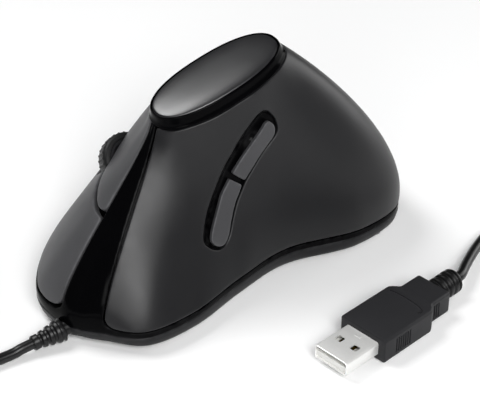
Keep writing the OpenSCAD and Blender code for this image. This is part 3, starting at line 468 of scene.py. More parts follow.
def box(size: Sequence[float], middle: Sequence[float], bevel: float) -> Solid:
    """Block with rounded upright edges and bevelled ends.

    Args:
        size: Width, length and height.
        middle: Middle of the block.
        bevel: Size of the bevels.

    Returns:
        The block.
    """
    x, y, z = [s / 2 for s in size]
    rings = [rounded_rect(x - i, z - i, bevel, 3) + np.array([0, d, 0])
             for i, d in ((bevel, -y), (0, bevel - y), (0, y - bevel), (bevel, y))]
    done = loft(rings)
    return Solid(done.points + np.array(middle), done.faces, done.wear)


def placed_object(name: str, data: bpy.types.ID) -> bpy.types.Object:
    """Put data into the scene at the origin.

    Args:
        name: Name of the object.
        data: Mesh, curve, lamp or camera.

    Returns:
        The object.
    """
    made = bpy.data.objects.new(name, data)
    bpy.context.scene.collection.objects.link(made)
    return made


def level(us: Array, t: float) -> Array:
    """Points at one height share."""
    return np.stack([us, np.full(len(us), t)], 1)


def upright(u: float, ts: Array) -> Array:
    """Points on one rib."""
    return np.stack([np.full(len(ts), u), ts], 1)


def shape(name: str, solid: Solid, crease: float = CREASE) -> bpy.types.Object:
    """Make an object of a solid.

    Args:
        name: Name of the piece.
        solid: Closed mesh in millimetres.
        crease: Angle over which an edge stays sharp, in degrees.

    Returns:
        The object, at the origin.
    """
    mesh = bpy.data.meshes.new(name)
    mesh.from_pydata((solid.points * MM).tolist(), [], solid.faces)
    # Per-point weight for edge wear and painted edge highlight, read by the finishes.
    weights = mesh.attributes.new("wear", "FLOAT", "POINT")
    weights.data.foreach_set("value", solid.wear.astype(np.float32))
    tidy(mesh, crease)
    return placed_object(name, mesh)


def tidy(mesh: bpy.types.Mesh, crease: float) -> None:
    """Merge doubles, turn faces outwards and shade smooth up to a crease.

    Args:
        mesh: Mesh to work on.
        crease: Angle in degrees.
    """
    work = bmesh.new()
    work.from_mesh(mesh)
    bmesh.ops.remove_doubles(work, verts=work.verts, dist=1e-7)
    bmesh.ops.recalc_face_normals(work, faces=work.faces)
    work.to_mesh(mesh)
    work.free()
    mesh.shade_smooth()
    mesh.set_sharp_from_angle(angle=math.radians(crease))


def evaluated(thing: bpy.types.Object, name: str) -> bpy.types.Mesh:
    """Plain mesh of an object with its modifiers.

    Args:
        thing: Object with modifiers.
        name: Name of the new mesh.

    Returns:
        The mesh.
    """
    graph = bpy.context.evaluated_depsgraph_get()
    mesh = bpy.data.meshes.new_from_object(thing.evaluated_get(graph), preserve_all_data_layers=True,
                                           depsgraph=graph)
    mesh.name = name
    return mesh


def carve(target: bpy.types.Object, cutter: bpy.types.Object, crease: float = CREASE) -> None:
    """Cut one object out of another and remove the cutter.

    Args:
        target: Object that is cut.
        cutter: Object that is taken away.
        crease: Angle over which an edge stays sharp, in degrees.
    """
    cut = target.modifiers.new("cut", "BOOLEAN")
    cut.operation = "DIFFERENCE"
    cut.solver = "EXACT"
    cut.object = cutter
    mesh = evaluated(target, target.name)
    target.modifiers.remove(cut)
    target.data = mesh
    tidy(mesh, crease)
    bpy.data.objects.remove(cutter)


def grow(piece: bpy.types.Object, extra: Solid, crease: float = CREASE) -> None:
    """Add a solid to a piece's mesh.

    Args:
        piece: Piece that grows.
        extra: Solid in millimetres.
        crease: Angle over which an edge stays sharp, in degrees.
    """
    other = shape("extra", extra)
    work = bmesh.new()
    work.from_mesh(piece.data)
    work.from_mesh(other.data)
    work.to_mesh(piece.data)
    work.free()
    bpy.data.objects.remove(other)
    piece.data.shade_smooth()
    piece.data.set_sharp_from_angle(angle=math.radians(crease))


def settle(piece: bpy.types.Object, slot: str, body: Body, *nodes: str) -> bpy.types.Object:
    """Dress a piece and put it on its body.

    Args:
        piece: Finished object.
        slot: Material slot of the record.
        body: Body that it moves with.
        nodes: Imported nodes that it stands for.

    Returns:
        The piece.
    """
    piece.data.materials.clear()
    piece.data.materials.append(getattr(PALETTE, slot).material())
    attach(piece, body.value)
    if nodes:
        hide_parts(*nodes)
    LOG.info("%s on %s as %s", piece.name, body.value, slot)
    return piece


class Recipe(Wiring):
    """Geometry node tree with named sizes, turned into a plain mesh."""

    KINDS = {int: "NodeSocketInt", float: "NodeSocketFloat", tuple: "NodeSocketVector"}

    def __init__(self, name: str, sizes: dict[str, int | float | tuple]) -> None:
        """Start the tree.

        Args:
            name: Name of the tree.
            sizes: Named inputs and their values, in metres.
        """
        super().__init__(bpy.data.node_groups.new(name, "GeometryNodeTree"))
        face = self.tree.interface
        face.new_socket(name="Geometry", in_out="OUTPUT", socket_type="NodeSocketGeometry")
        face.new_socket(name="Geometry", in_out="INPUT", socket_type="NodeSocketGeometry")

        def entry(label: str, kind: str) -> str:
            """Identifier of a new named input."""
            return face.new_socket(name=label, in_out="INPUT", socket_type=kind).identifier

        self.values = {entry(label, self.KINDS[type(v)]): v for label, v in sizes.items()}
        self.skin = entry("Finish", "NodeSocketMaterial")
        self.group = self.tree.nodes.new("NodeGroupInput")

    def size(self, label: str) -> Sock:
        """Socket of a named input."""
        return Sock(self, self.group.outputs[label])

    def cylinder(self, sides: int, radius: str, depth: str) -> Sock:
        """Cylinder whose sizes are named inputs."""
        return self.node("GeometryNodeMeshCylinder", None, {
            "Vertices": sides, "Radius": self.size(radius), "Depth": self.size(depth)})

    def close(self, points: Sock, copied: Sock) -> None:
        """Put a copy on each point, realize them, set the finish and end the tree.

        Args:
            points: Places of the copies.
            copied: Geometry of one copy.
        """
        copies = self.node("GeometryNodeInstanceOnPoints", None, {"Points": points, "Instance": copied})
        real = self.node("GeometryNodeRealizeInstances", None, {0: copies})
        skinned = self.node("GeometryNodeSetMaterial", None,
                            {"Geometry": real, "Material": self.size("Finish")})
        self.node("NodeGroupOutput", None, {0: skinned})

    def make(self, name: str, finish: Finish,
             seeds: Sequence[Sequence[float]] = ((0, 0, 0),)) -> bpy.types.Object:
        """Run the tree on a few seed points.

        Args:
            name: Name of the object.
            finish: Finish of the result.
            seeds: Points in metres that the tree starts from.

        Returns:
            Object with a plain mesh.
        """
        start = bpy.data.meshes.new(name + "_seed")
        start.from_pydata([tuple(p) for p in seeds], [], [])
        made = placed_object(name, start)
        run = made.modifiers.new("recipe", "NODES")
        run.node_group = self.tree
        for key, value in self.values.items():
            run[key] = value
        run[self.skin] = finish.material()
        mesh = evaluated(made, name)
        made.modifiers.remove(run)
        made.data = mesh
        return made


def lay(piece: bpy.types.Object, place: Matrix) -> None:
    """Move a mesh by a matrix in millimetres."""
    piece.data.transform(Matrix.Translation(place.translation * MM) @ place.to_3x3().to_4x4())


@dataclass(frozen=True)
class TopOval:
    """Tilted oval of the top, in millimetres and degrees."""

    centre: tuple[float, float, float] = (-7.0, 2.2, 64.0)
    half_length: float = 20.8
    half_width: float = 9.3
    pitch: float = 17.0
    roll: float = 4.0
    power: float = 2.3

    def axes(self) -> tuple[Array, Array, Array]:
        """Forward, sideways and upward directions of the oval.

        Returns:
            Three unit vectors.
        """
        p, r = math.radians(self.pitch), math.radians(self.roll)
        up = np.array([0, math.sin(p), math.cos(p)])
        side = np.array([math.cos(r), 0, 0]) + math.sin(r) * up
        ahead = np.array([0, math.cos(p), -math.sin(p)])
        return ahead, side, math.cos(r) * up - np.array([math.sin(r), 0, 0])

    def ring(self, degrees: Array, out: float, drop: float, share: float = 1.0) -> Array:
        """Points of an oval parallel to the edge.

        Args:
            degrees: Angles from the front over the thumb side.
            out: Distance outside the cap's edge.
            drop: Distance below the cap's edge.
            share: Scale of the oval.

        Returns:
            One point for each angle.
        """
        ahead, side, up = self.axes()
        c, s = np.cos(np.radians(degrees)), np.sin(np.radians(degrees))
        m = (np.abs(c) ** self.power + np.abs(s) ** self.power) ** (-1 / self.power)
        long = (self.half_length + out) * share * c * m
        wide = (self.half_width + out) * share * s * m
        return np.array(self.centre) + long[:, None] * ahead - wide[:, None] * side - drop * up


def passing(a: Array, b: Array, c: Array, d: Array, s: Array | float) -> Array:
    """Curve from b to c at share s, led by a and d."""
    bend = (2 * a - 5 * b + 4 * c - d) * s ** 2 + (3 * b - a - 3 * c + d) * s ** 3
    return (2 * b + (c - a) * s + bend) / 2


@dataclass
class ShellSurface:
    """Flowing surface of the body over rib number u and height share t, in millimetres."""

    oval: TopOval = field(default_factory=TopOval)
    belt: float = 7.0
    rim_out: float = 1.7
    rim_drop: float = 3.4
    band_run: float = 50.0
    belt_round: float = 301.0
    draw_in: float = 190.0
    rise: float = 58.0
    spine: float = 14.0
    spine_end: float = 16.0
    finger_rear: float = 25.2
    corner_u: float = 0.35
    corner_t: float = 0.08
    ribs: tuple = (
        (357, -22, 57.5, 0, 12, 6, 12), (4, -27, 53, 0, 14, 6, 14), (34, -35.5, 43.5, -6, 12, 3, 22),
        (66, -35, 27, -10, 10, 2, 26), (92, -28.5, 7, -6, 14, 2, 26), (112, -24, -13, -2, 18, 4, 24),
        (138, -28, -38, 2, 20, 8, 18), (164, -20.5, -57.5, 3, 20, 14, 12), (196, 5.5, -59.5, 3, 20, 14, 12),
        (228, 26.5, -46, 3, 20, 12, 12), (262, 35.5, -16, 2, 20, 10, 14),
        (298, 33.5, 15.6, -1.5, 15.8, 7.9, 7), (328, 19.9, 44.6, -2.2, 12, 0.8, 9.9),
        (346, 0.5, 60.1, -1.9, 10.9, 0.8, 10.3), (352, -16, 60.6, 0, 14, 4, 12))

    def __post_init__(self) -> None:
        """Work out the control points of the ribs."""
        rows = []
        for angle, x, y, foot_out, foot_up, crown_out, crown_down in self.ribs:
            top = self.oval.ring(np.array([angle]), self.rim_out, self.rim_drop)[0]
            foot = np.array([x, y, self.belt])
            out = (foot - top) * (1, 1, 0)
            out = out / np.linalg.norm(out)
            rows.append([foot, foot + out * foot_out + (0, 0, foot_up),
                         top + out * crown_out - np.array([0, 0, crown_down]), top])
        self.control = np.array(rows)
        self.count = len(rows)
        self.finger_front = self.spine + self.count

    def point(self, uv: Array) -> Array:
        """Points on the surface; below the belt it drops straight down.

        Args:
            uv: Rib numbers and height shares.

        Returns:
            Points in millimetres.
        """
        u, t = uv[:, 0], uv[:, 1]
        k = np.floor(u).astype(int)
        s = (u - k)[:, None, None]
        a, b, c, d = [self.control[(k + j) % self.count] for j in (-1, 0, 1, 2)]
        rib = passing(a, b, c, d, s)
        h = np.clip(t, 0, 1)[:, None]
        place = (rib[:, 0] * (1 - h) ** 3 + 3 * rib[:, 1] * h * (1 - h) ** 2
                 + 3 * rib[:, 2] * h * h * (1 - h) + rib[:, 3] * h ** 3)
        place[:, 2] += np.minimum(t, 0) * self.band_run
        return place

    def slopes(self, uv: Array) -> tuple[Array, Array]:
        """Change of the surface with u and with t.

        Args:
            uv: Rib numbers and height shares.

        Returns:
            Two rows of vectors.
        """
        e = 0.005
        high, low = np.minimum(uv[:, 1] + e, 1), np.minimum(uv[:, 1], 1) - e
        su = (self.point(uv + (e, 0)) - self.point(uv - (e, 0))) / (2 * e)
        up, down = uv.copy(), uv.copy()
        up[:, 1], down[:, 1] = high, low
        st = (self.point(up) - self.point(down)) / (high - low)[:, None]
        return su, st

    def normal(self, uv: Array) -> Array:
        """Outward unit normals."""
        n = np.cross(*self.slopes(uv))
        return n / np.linalg.norm(n, axis=1)[:, None]

    def at(self, uv: Array, depth: Array | float) -> Array:
        """Points at a depth under the surface."""
        return self.point(uv) - self.normal(uv) * np.reshape(depth, (-1, 1))

    def share(self, width: float, u: float, t: Array) -> Array:
        """Share of a rib interval that measures a width.

        Args:
            width: Width in millimetres.
            u: Rib number.
            t: Height shares.

        Returns:
            Shares, one for each height.
        """
        t = np.atleast_1d(t).astype(float)
        su, _ = self.slopes(np.stack([np.full_like(t, u), t], 1))
        return width / np.linalg.norm(su, axis=1)

    def inset(self, loop: Array, distance: Array | float) -> Array:
        """Move a closed loop along the surface, to its left.

        Args:
            loop: Rib numbers and height shares round the loop.
            distance: Distance in millimetres.

        Returns:
            The moved loop.
        """
        p = self.point(loop)
        along = np.roll(p, -1, 0) - np.roll(p, 1, 0)
        su, st = self.slopes(loop)
        left = np.cross(np.cross(su, st), along)
        left /= np.linalg.norm(left, axis=1)[:, None]
        a, b, c = (su * su).sum(1), (su * st).sum(1), (st * st).sum(1)
        r, q = (su * left).sum(1), (st * left).sum(1)
        det = a * c - b * b
        step = np.stack([(c * r - b * q) / det, (a * q - b * r) / det], 1)
        return loop + step * np.reshape(distance, (-1, 1))

    def flat(self, uv: Array) -> Array:
        """Map onto a plane that keeps angles, the belt outermost.

        Args:
            uv: Rib numbers and height shares.

        Returns:
            Points in the plane.
        """
        r = self.belt_round / (2 * math.pi) * self.squeeze(uv[:, 1])
        a = uv[:, 0] * 2 * math.pi / self.count
        return np.stack([r * np.cos(a), r * np.sin(a)], 1)

    def squeeze(self, t: Array) -> Array:
        """Size of the plane's circles against the belt."""
        drawn = (self.belt_round - self.draw_in * t) / self.belt_round
        return drawn ** (self.rise * 2 * math.pi / self.draw_in)

    def resample(self, path: Array, step: float, rounding: int = 2) -> Array:
        """Even points along a closed path with its corners eased.

        Args:
            path: Corners; the last one meets the first, or lies one full round on.
            step: Distance in millimetres.
            rounding: Rounds of easing.

        Returns:
            Points without the repeated last one.
        """
        dense = np.vstack([a + (b - a) * np.linspace(0, 1, 12, endpoint=False)[:, None]
                           for a, b in zip(path[:-1], path[1:])] + [path[-1:]])
        gone = np.linalg.norm(np.diff(self.point(dense), axis=0), axis=1)
        run = np.concatenate([[0], np.cumsum(gone)])
        places = np.linspace(0, run[-1], max(8, round(run[-1] / step)), endpoint=False)
        loop = np.stack([np.interp(places, run, dense[:, k]) for k in (0, 1)], 1)
        for _ in range(rounding):
            on, back = [self.near(np.roll(loop, k, 0) - loop) for k in (-1, 1)]
            loop = loop + (on + back) / 4
        return loop

    def near(self, steps: Array) -> Array:
        """Steps in u taken the short way round."""
        half = self.count / 2
        return np.stack([(steps[:, 0] + half) % self.count - half, steps[:, 1]], 1)

    def window(self, us: Array, t0: float, t1: float) -> Array:
        """Loop round a window of the shell, kept on the left."""
        return np.vstack([level(us, t0), level(us[::-1], t1), [[us[0], t0]]])

    def post_hole(self, middle: tuple[float, float], half: float) -> Array:
        """Square hole round a post, the plate on its left.

        Args:
            middle: Rib number and height share.
            half: Half of the hole's width.

        Returns:
            The loop.
        """
        (u, t), dt = middle, half / self.rise
        du = float(self.share(half, u, t)[0])
        return self.resample(self.window(np.array([u - du, u + du]), t - dt, t + dt)[::-1], 0.5, 2)

    def hit(self, origin: Array, way: Array, depth: float,
            start: tuple[float, float]) -> tuple[float, float]:
        """Find where a line meets the surface at a depth.

        Args:
            origin: Point of the line.
            way: Direction of the line.
            depth: Depth under the surface.
            start: First guess.

        Returns:
            Rib number and height share.
        """
        def miss(v: Array) -> Array:
            """Distance vector at a guess."""
            return self.at(v[None, :2], depth)[0] - origin - way * v[2]

        rounds, e, most = 25, 1e-4, 0.4
        x = np.array([start[0], start[1], 0.0])
        for _ in range(rounds):
            base = miss(x)
            jac = np.stack([(miss(x + d) - base) / e for d in np.eye(3) * e], 1)
            x = x - np.clip(np.linalg.solve(jac, base), -most, most)
        return float(x[0]), float(x[1])


def inside(points: Array, loop: Array) -> Array:
    """Tell which points lie in a loop of the plane.

    Args:
        points: Points to test.
        loop: Corners of the loop.

    Returns:
        One truth value for each point.
    """
    x, y = points[:, :1], points[:, 1:]
    x0, y0 = loop[:, 0], loop[:, 1]
    x1, y1 = np.roll(x0, -1), np.roll(y0, -1)
    rise = np.where(y1 == y0, 1e-12, y1 - y0)
    crossed = ((y0 > y) != (y1 > y)) & (x < x0 + (y - y0) / rise * (x1 - x0))
    return crossed.sum(1) % 2 == 1


def smooth_path(points: Sequence[Sequence[float]], closed: bool, steps: int = 8) -> Array:
    """Curve through points.

    Args:
        points: Points to pass.
        closed: Whether the last meets the first.
        steps: Steps between two points.

    Returns:
        Dense points, the first repeated at the end where closed.
    """
    p = np.array(points, float)
    n = len(p)
    out = []
    for k in range(n if closed else n - 1):
        pick = [(k + j) % n if closed else min(max(k + j, 0), n - 1) for j in (-1, 0, 1, 2)]
        a, b, c, d = p[pick]
        for s in np.linspace(0, 1, steps, endpoint=False):
            out.append(passing(a, b, c, d, s))
    out.append(p[0] if closed else p[-1])
    return np.array(out)


@dataclass
class Skin:
    """Mesh that grows row by row under the shell's surface."""

    surface: ShellSurface
    points: list[Array] = field(default_factory=list)
    wear: list[Array] = field(default_factory=list)
    faces: list[tuple[int, ...]] = field(default_factory=list)
    total: int = 0

    def add(self, uv: Array, depth: float, weight: float) -> int:
        """Add points at a depth.

        Args:
            uv: Rib numbers and height shares.
            depth: Depth under the shell.
            weight: Weight for edge wear and painted edge highlight.

        Returns:
            Number of the first point.
        """
        self.points.append(self.surface.at(uv, depth))
        self.wear.append(np.full(len(uv), weight))
        self.total += len(uv)
        return self.total - len(uv)

    def strip(self, a: int, b: int, n: int) -> None:
        """Join two closed rows of n points."""
        self.faces.extend((a + j, a + (j + 1) % n, b + (j + 1) % n, b + j) for j in range(n))

    def solid(self) -> Solid:
        """The finished mesh."""
        plain = [tuple(int(k) for k in face) for face in self.faces]
        return Solid(np.vstack(self.points), plain, np.concatenate(self.wear))


@dataclass
class Plate:
    """Curved plate cut from the shell by outlines, with rounded edges.

    Outlines keep the plate on their left; lengths are in millimetres.
    """

    surface: ShellSurface
    outer: Array
    holes: list[Array] = field(default_factory=list)
    top: float = 0.0
    bottom: float = 2.0
    edge: float = 0.4
    spacing: float = 1.6
    profile: Profile | None = None
    reach: Array | None = None

    def edge_profile(self) -> Profile:
        """Inset and depth of the rings from the wall to the face.

        Returns:
            Pairs of inset and depth.
        """
        if self.profile:
            return self.profile
        turns = [math.pi / 2 * k / 5 for k in range(6)]
        return [(self.edge * (1 - math.cos(a)), self.top + self.edge * (1 - math.sin(a)))
                for a in turns]

    def grid(self, loops: Sequence[Array]) -> Array:
        """Inner points in even rows, clear of the loops.

        Args:
            loops: Innermost loops, the outer one first.

        Returns:
            Rib numbers and height shares.
        """
        f = self.surface
        low, high = loops[0][:, 1].min(), max(l[:, 1].max() for l in loops)
        rows = []
        for k, t in enumerate(np.arange(low, high, self.spacing * 0.87 / f.rise)):
            n = max(6, int((f.belt_round - f.draw_in * t) / self.spacing))
            rows.append(level((np.arange(n) + 0.5 * (k % 2)) * f.count / n, t))
        uv = np.vstack(rows)
        uv = uv[self.within(f.flat(uv), loops)]
        edge = np.vstack([f.flat(l) for l in loops])
        gap = np.array([np.sqrt(((edge - p) ** 2).sum(1).min()) for p in f.flat(uv)])
        return uv[gap > self.spacing * 0.55 * f.squeeze(uv[:, 1])]

    def within(self, at: Array, loops: Sequence[Array]) -> Array:
        """Tell which points of the plane lie on the plate.

        Args:
            at: Points of the plane.
            loops: Loops of the plate, the outer one first.

        Returns:
            One truth value for each point.
        """
        keep = inside(at, self.surface.flat(loops[0]))
        for hole in loops[1:]:
            keep &= ~inside(at, self.surface.flat(hole))
        return keep

    def triangles(self, uv: Array, loops: Sequence[Array]) -> Array:
        """Triangles that fill the face.

        Args:
            uv: Points of the face, those of the loops first.
            loops: Loops of the face, the outer one first.

        Returns:
            Three point numbers for each triangle.
        """
        bounds, start = [], 0
        for l in loops:
            bounds += [(start + j, start + (j + 1) % len(l)) for j in range(len(l))]
            start += len(l)
        plane = self.surface.flat(uv)
        found = delaunay_2d_cdt([Vector(p) for p in plane.tolist()], bounds, [], 0, 1e-7)
        origin = [o[0] if o else -1 for o in found[3]]
        made = [[origin[v] for v in t] for t in found[2]]
        made = np.array([t for t in made if min(t) >= 0])
        return made[self.within(plane[made].mean(1), loops)]

    def wall(self, skin: Skin, loop: Array, reach: Array | float) -> tuple[Array, int, int]:
        """Build the wall and the rounded edge along one outline.

        Args:
            skin: Mesh that grows.
            loop: Outline.
            reach: Scale of the edge's width.

        Returns:
            The innermost loop, and its first point above and below.
        """
        rings, n = self.edge_profile(), len(loop)
        low = row = skin.add(loop, self.bottom, 0.0)
        for k, (inset, depth) in enumerate(rings):
            moved = self.surface.inset(loop, inset * reach)
            # Rings of the rounded edge get full weight: rubbed wear and a painted edge highlight.
            new = skin.add(moved, depth, 1.0 if 0 < k < len(rings) - 1 else 0.35)
            skin.strip(row, new, n)
            row = new
        under = skin.add(moved, self.bottom, 0.0)
        skin.strip(under, low, n)
        return moved, row, under

    def solid(self) -> Solid:
        """Build the plate.

        Returns:
            Closed mesh with weights along its edges for wear and painted highlight.
        """
        skin = Skin(self.surface)
        outer = self.wall(skin, self.outer, 1.0 if self.reach is None else self.reach)
        loops, tops, lows = map(list, zip(outer, *[self.wall(skin, hole, 1.0) for hole in self.holes]))
        middle = self.grid(loops)
        tops.append(skin.add(middle, self.edge_profile()[-1][1], 0.0))
        lows.append(skin.add(middle, self.bottom, 0.0))
        rows = loops + [middle]
        over, under = [np.concatenate([np.arange(len(row)) + a for row, a in zip(rows, first)])
                       for first in (tops, lows)]
        for a, b, c in self.triangles(np.vstack(rows), loops):
            skin.faces += [(over[a], over[b], over[c]), (under[c], under[b], under[a])]
        return skin.solid()


@dataclass
class FingerFrame:
    """Place of the wheel's axle and of what turns or leans with it."""

    axle: tuple[float, float, float] = (12.9916, 21.2767, 30.9221)
    tilt: float = 45.0
    lean: float = 30.0
    slot_half: float = 4.3
    slot_length: float = 8.9
    slot_corner: float = 2.2
    wheel_u: float = 26.51
    split: float = 0.51

    def matrix(self) -> Matrix:
        """Matrix of the frame in millimetres."""
        return Matrix.Translation(self.axle) @ Matrix.Rotation(math.radians(self.tilt), 4, "Y")

    def outline(self, surface: ShellSurface, half: tuple[float, float], corner: float, depth: float,
                middle: tuple[float, float] = (0.0, 0.0), lean: float = 0.0) -> Array:
        """Rounded rectangle of this frame, thrown onto the shell.

        Args:
            surface: Shell of the body.
            half: Half sizes down the slope and along the mouse.
            corner: Corner radius.
            depth: Depth under the shell.
            middle: Middle of the rectangle.
            lean: Lean of the throw towards the front, in degrees.

        Returns:
            Closed loop of rib numbers and height shares, the first repeated.
        """
        turn = np.array((self.matrix().to_3x3() @ Matrix.Rotation(-math.radians(lean), 3, "X")))
        ring = rounded_rect(half[0], half[1], corner, 5)[:, [0, 2]]
        out = []
        guess = (self.wheel_u, self.split)
        for x, y in ring:
            origin = np.array(self.axle) + turn @ np.array([x + middle[0], y + middle[1], 0.0])
            guess = surface.hit(origin, turn @ np.array([0.0, 0.0, 1.0]), depth, guess)
            out.append(guess)
        out.append(out[0])
        return np.array(out)


@dataclass
class SpineFrame:
    """Gloss moulding: spine, foot band and the dark lining behind the seams."""

    surface: ShellSurface
    fingers: FingerFrame
    band_low: float = -0.038
    ledge_t: float = 0.034
    front_u: float = 0.5
    front_t: float = 0.075
    top_t: float = 0.999
    thumb_posts: tuple = ((4.4625, 0.7145), (3.4925, 0.5125))
    thumb_room: float = 2.6
    finger_posts: tuple = ((-12.0, -2.0), (12.0, -2.0))
    finger_room: float = 2.1
    finger_depth: float = 3.7

    def opening_low(self, u: Array) -> Array:
        """Lower edge of the opening for panels and buttons.

        Args:
            u: Rib numbers from the spine round to the spine.

        Returns:
            Height shares.
        """
        f = self.surface
        s = np.clip(1 - (u - f.spine_end) / f.corner_u, 0, 1)
        grip = f.corner_t * (1 - np.sqrt(1 - s * s)) - 0.004
        e = np.clip((u - f.finger_rear) / 3, 0, 1)
        ledge = self.ledge_t * e * e * (3 - 2 * e)
        q = np.clip(1 - (f.finger_front - u) / self.front_u, 0, 1)
        return grip + ledge + self.front_t * (1 - np.sqrt(1 - q * q))

    def build(self) -> None:
        """Build the gloss skin and the lining, and put them on the mouse."""
        f = self.surface
        first, last = f.finger_front, f.spine_end
        us = np.concatenate([first - self.front_u * np.linspace(0, 1, 30) ** 2,
                             np.linspace(first - 0.6, last + 0.4, 120),
                             last + f.corner_u * np.linspace(1, 0, 30) ** 2])
        low = np.stack([us, self.opening_low(us)], 1)
        up = upright(last, np.linspace(low[-1, 1], self.top_t, 80))
        over = level(np.linspace(last, f.spine, 40), self.top_t)
        down = upright(f.spine, np.linspace(self.top_t, low[0, 1], 80))
        hole = np.vstack([low, up[1:], over[1:], down[1:]])
        ring = level(np.linspace(0, f.count, 301), self.band_low)
        skin = Plate(f, f.resample(ring, 1.0, 0), [f.resample(hole, 0.6, 1)], bottom=2.8, edge=0.3,
                     spacing=1.1)
        piece = shape("spine_and_band", skin.solid() + self.grip_lining() + self.finger_lining())
        settle(piece, "gloss_black", Body.MOUSE, "frame_shell")

    def grip_lining(self) -> Solid:
        """Lining under the grip, with holes for the thumb posts.

        Returns:
            The lining.
        """
        f = self.surface
        holes = [f.post_hole((u, t), self.thumb_room) + (f.count, 0) for u, t in self.thumb_posts]
        edge = f.window(np.linspace(15.94, 24.95, 60), 0.002, 0.985)
        return Plate(f, f.resample(edge, 1.4, 0), holes, top=2.4, bottom=3.2, edge=0.2,
                     spacing=2.2).solid()

    def finger_lining(self) -> Solid:
        """Lining under the finger buttons, with the wheel's opening and two post holes.

        Returns:
            The lining.
        """
        f, depth = self.surface, self.finger_depth
        edge = f.window(np.linspace(24.3, 29.06, 50), 0.004, 0.972)
        holes = [f.resample(self.fingers.outline(f, (8.1, 10.1), 1.0, depth, (-1.3, 0.0)), 0.6, 1)]
        room = (self.finger_room, self.finger_room)
        holes += [f.resample(self.fingers.outline(f, room, 0.4, depth, at), 0.4, 1)
                  for at in self.finger_posts]
        holes = [h if self.clockwise(h) else h[::-1] for h in holes]
        return Plate(f, f.resample(edge, 1.4, 0), holes, top=depth, bottom=depth + 0.8, edge=0.2,
                     spacing=2.0).solid()

    def clockwise(self, loop: Array) -> bool:
        """Tell whether a loop keeps what is outside it on its left."""
        x, y = loop[:, 0], loop[:, 1]
        return float((x * np.roll(y, -1) - np.roll(x, -1) * y).sum()) < 0


@dataclass
class GripShell:
    """Soft-touch panel over thumb, heel and palm, with the slot for the thumb buttons."""

    surface: ShellSurface
    slot: Array
    low_t: float = 0.004
    top_t: float = 0.992
    front_gap: float = 0.42
    rear_gap: float = 0.25

    def build(self) -> None:
        """Build the panel and put it on the mouse."""
        f = self.surface
        first, last, clear = f.spine_end, f.finger_rear, 0.02
        start = first + clear
        us = np.concatenate([start + f.corner_u * np.linspace(0, 1, 30) ** 2,
                             np.linspace(first + 0.4, last, 100)])
        s = np.clip(1 - (us - start) / f.corner_u, 0, 1)
        low = np.stack([us, self.low_t + f.corner_t * (1 - np.sqrt(1 - s * s))], 1)
        low[:, 0] += np.interp(low[:, 0], [first, first + 1], [1, 0]) * clear
        gap = float(f.share(self.rear_gap, last, 0.0)[0])
        low[:, 0] -= np.interp(low[:, 0], [last - 0.4, last], [0, 1]) * gap
        ts = np.linspace(low[-1, 1], self.top_t, 60)
        rear = np.stack([last - f.share(self.rear_gap, last, ts), ts], 1)
        ends = np.linspace(self.top_t, low[0, 1], 60)
        front = np.stack([first + f.share(self.front_gap, first, ends), ends], 1)
        top = level(np.linspace(rear[-1, 0], front[0, 0], 80), self.top_t)
        loop = np.vstack([low, rear[1:], top[1:], front[1:], low[:1]])
        hole = f.resample(self.slot[::-1] + (f.count, 0), 0.5, 2)
        plate = Plate(f, f.resample(loop, 0.7, 2), [hole], edge=0.45, spacing=1.5)
        settle(shape("soft_grip_panel", plate.solid()), "soft_grip", Body.MOUSE, "grip_shell")


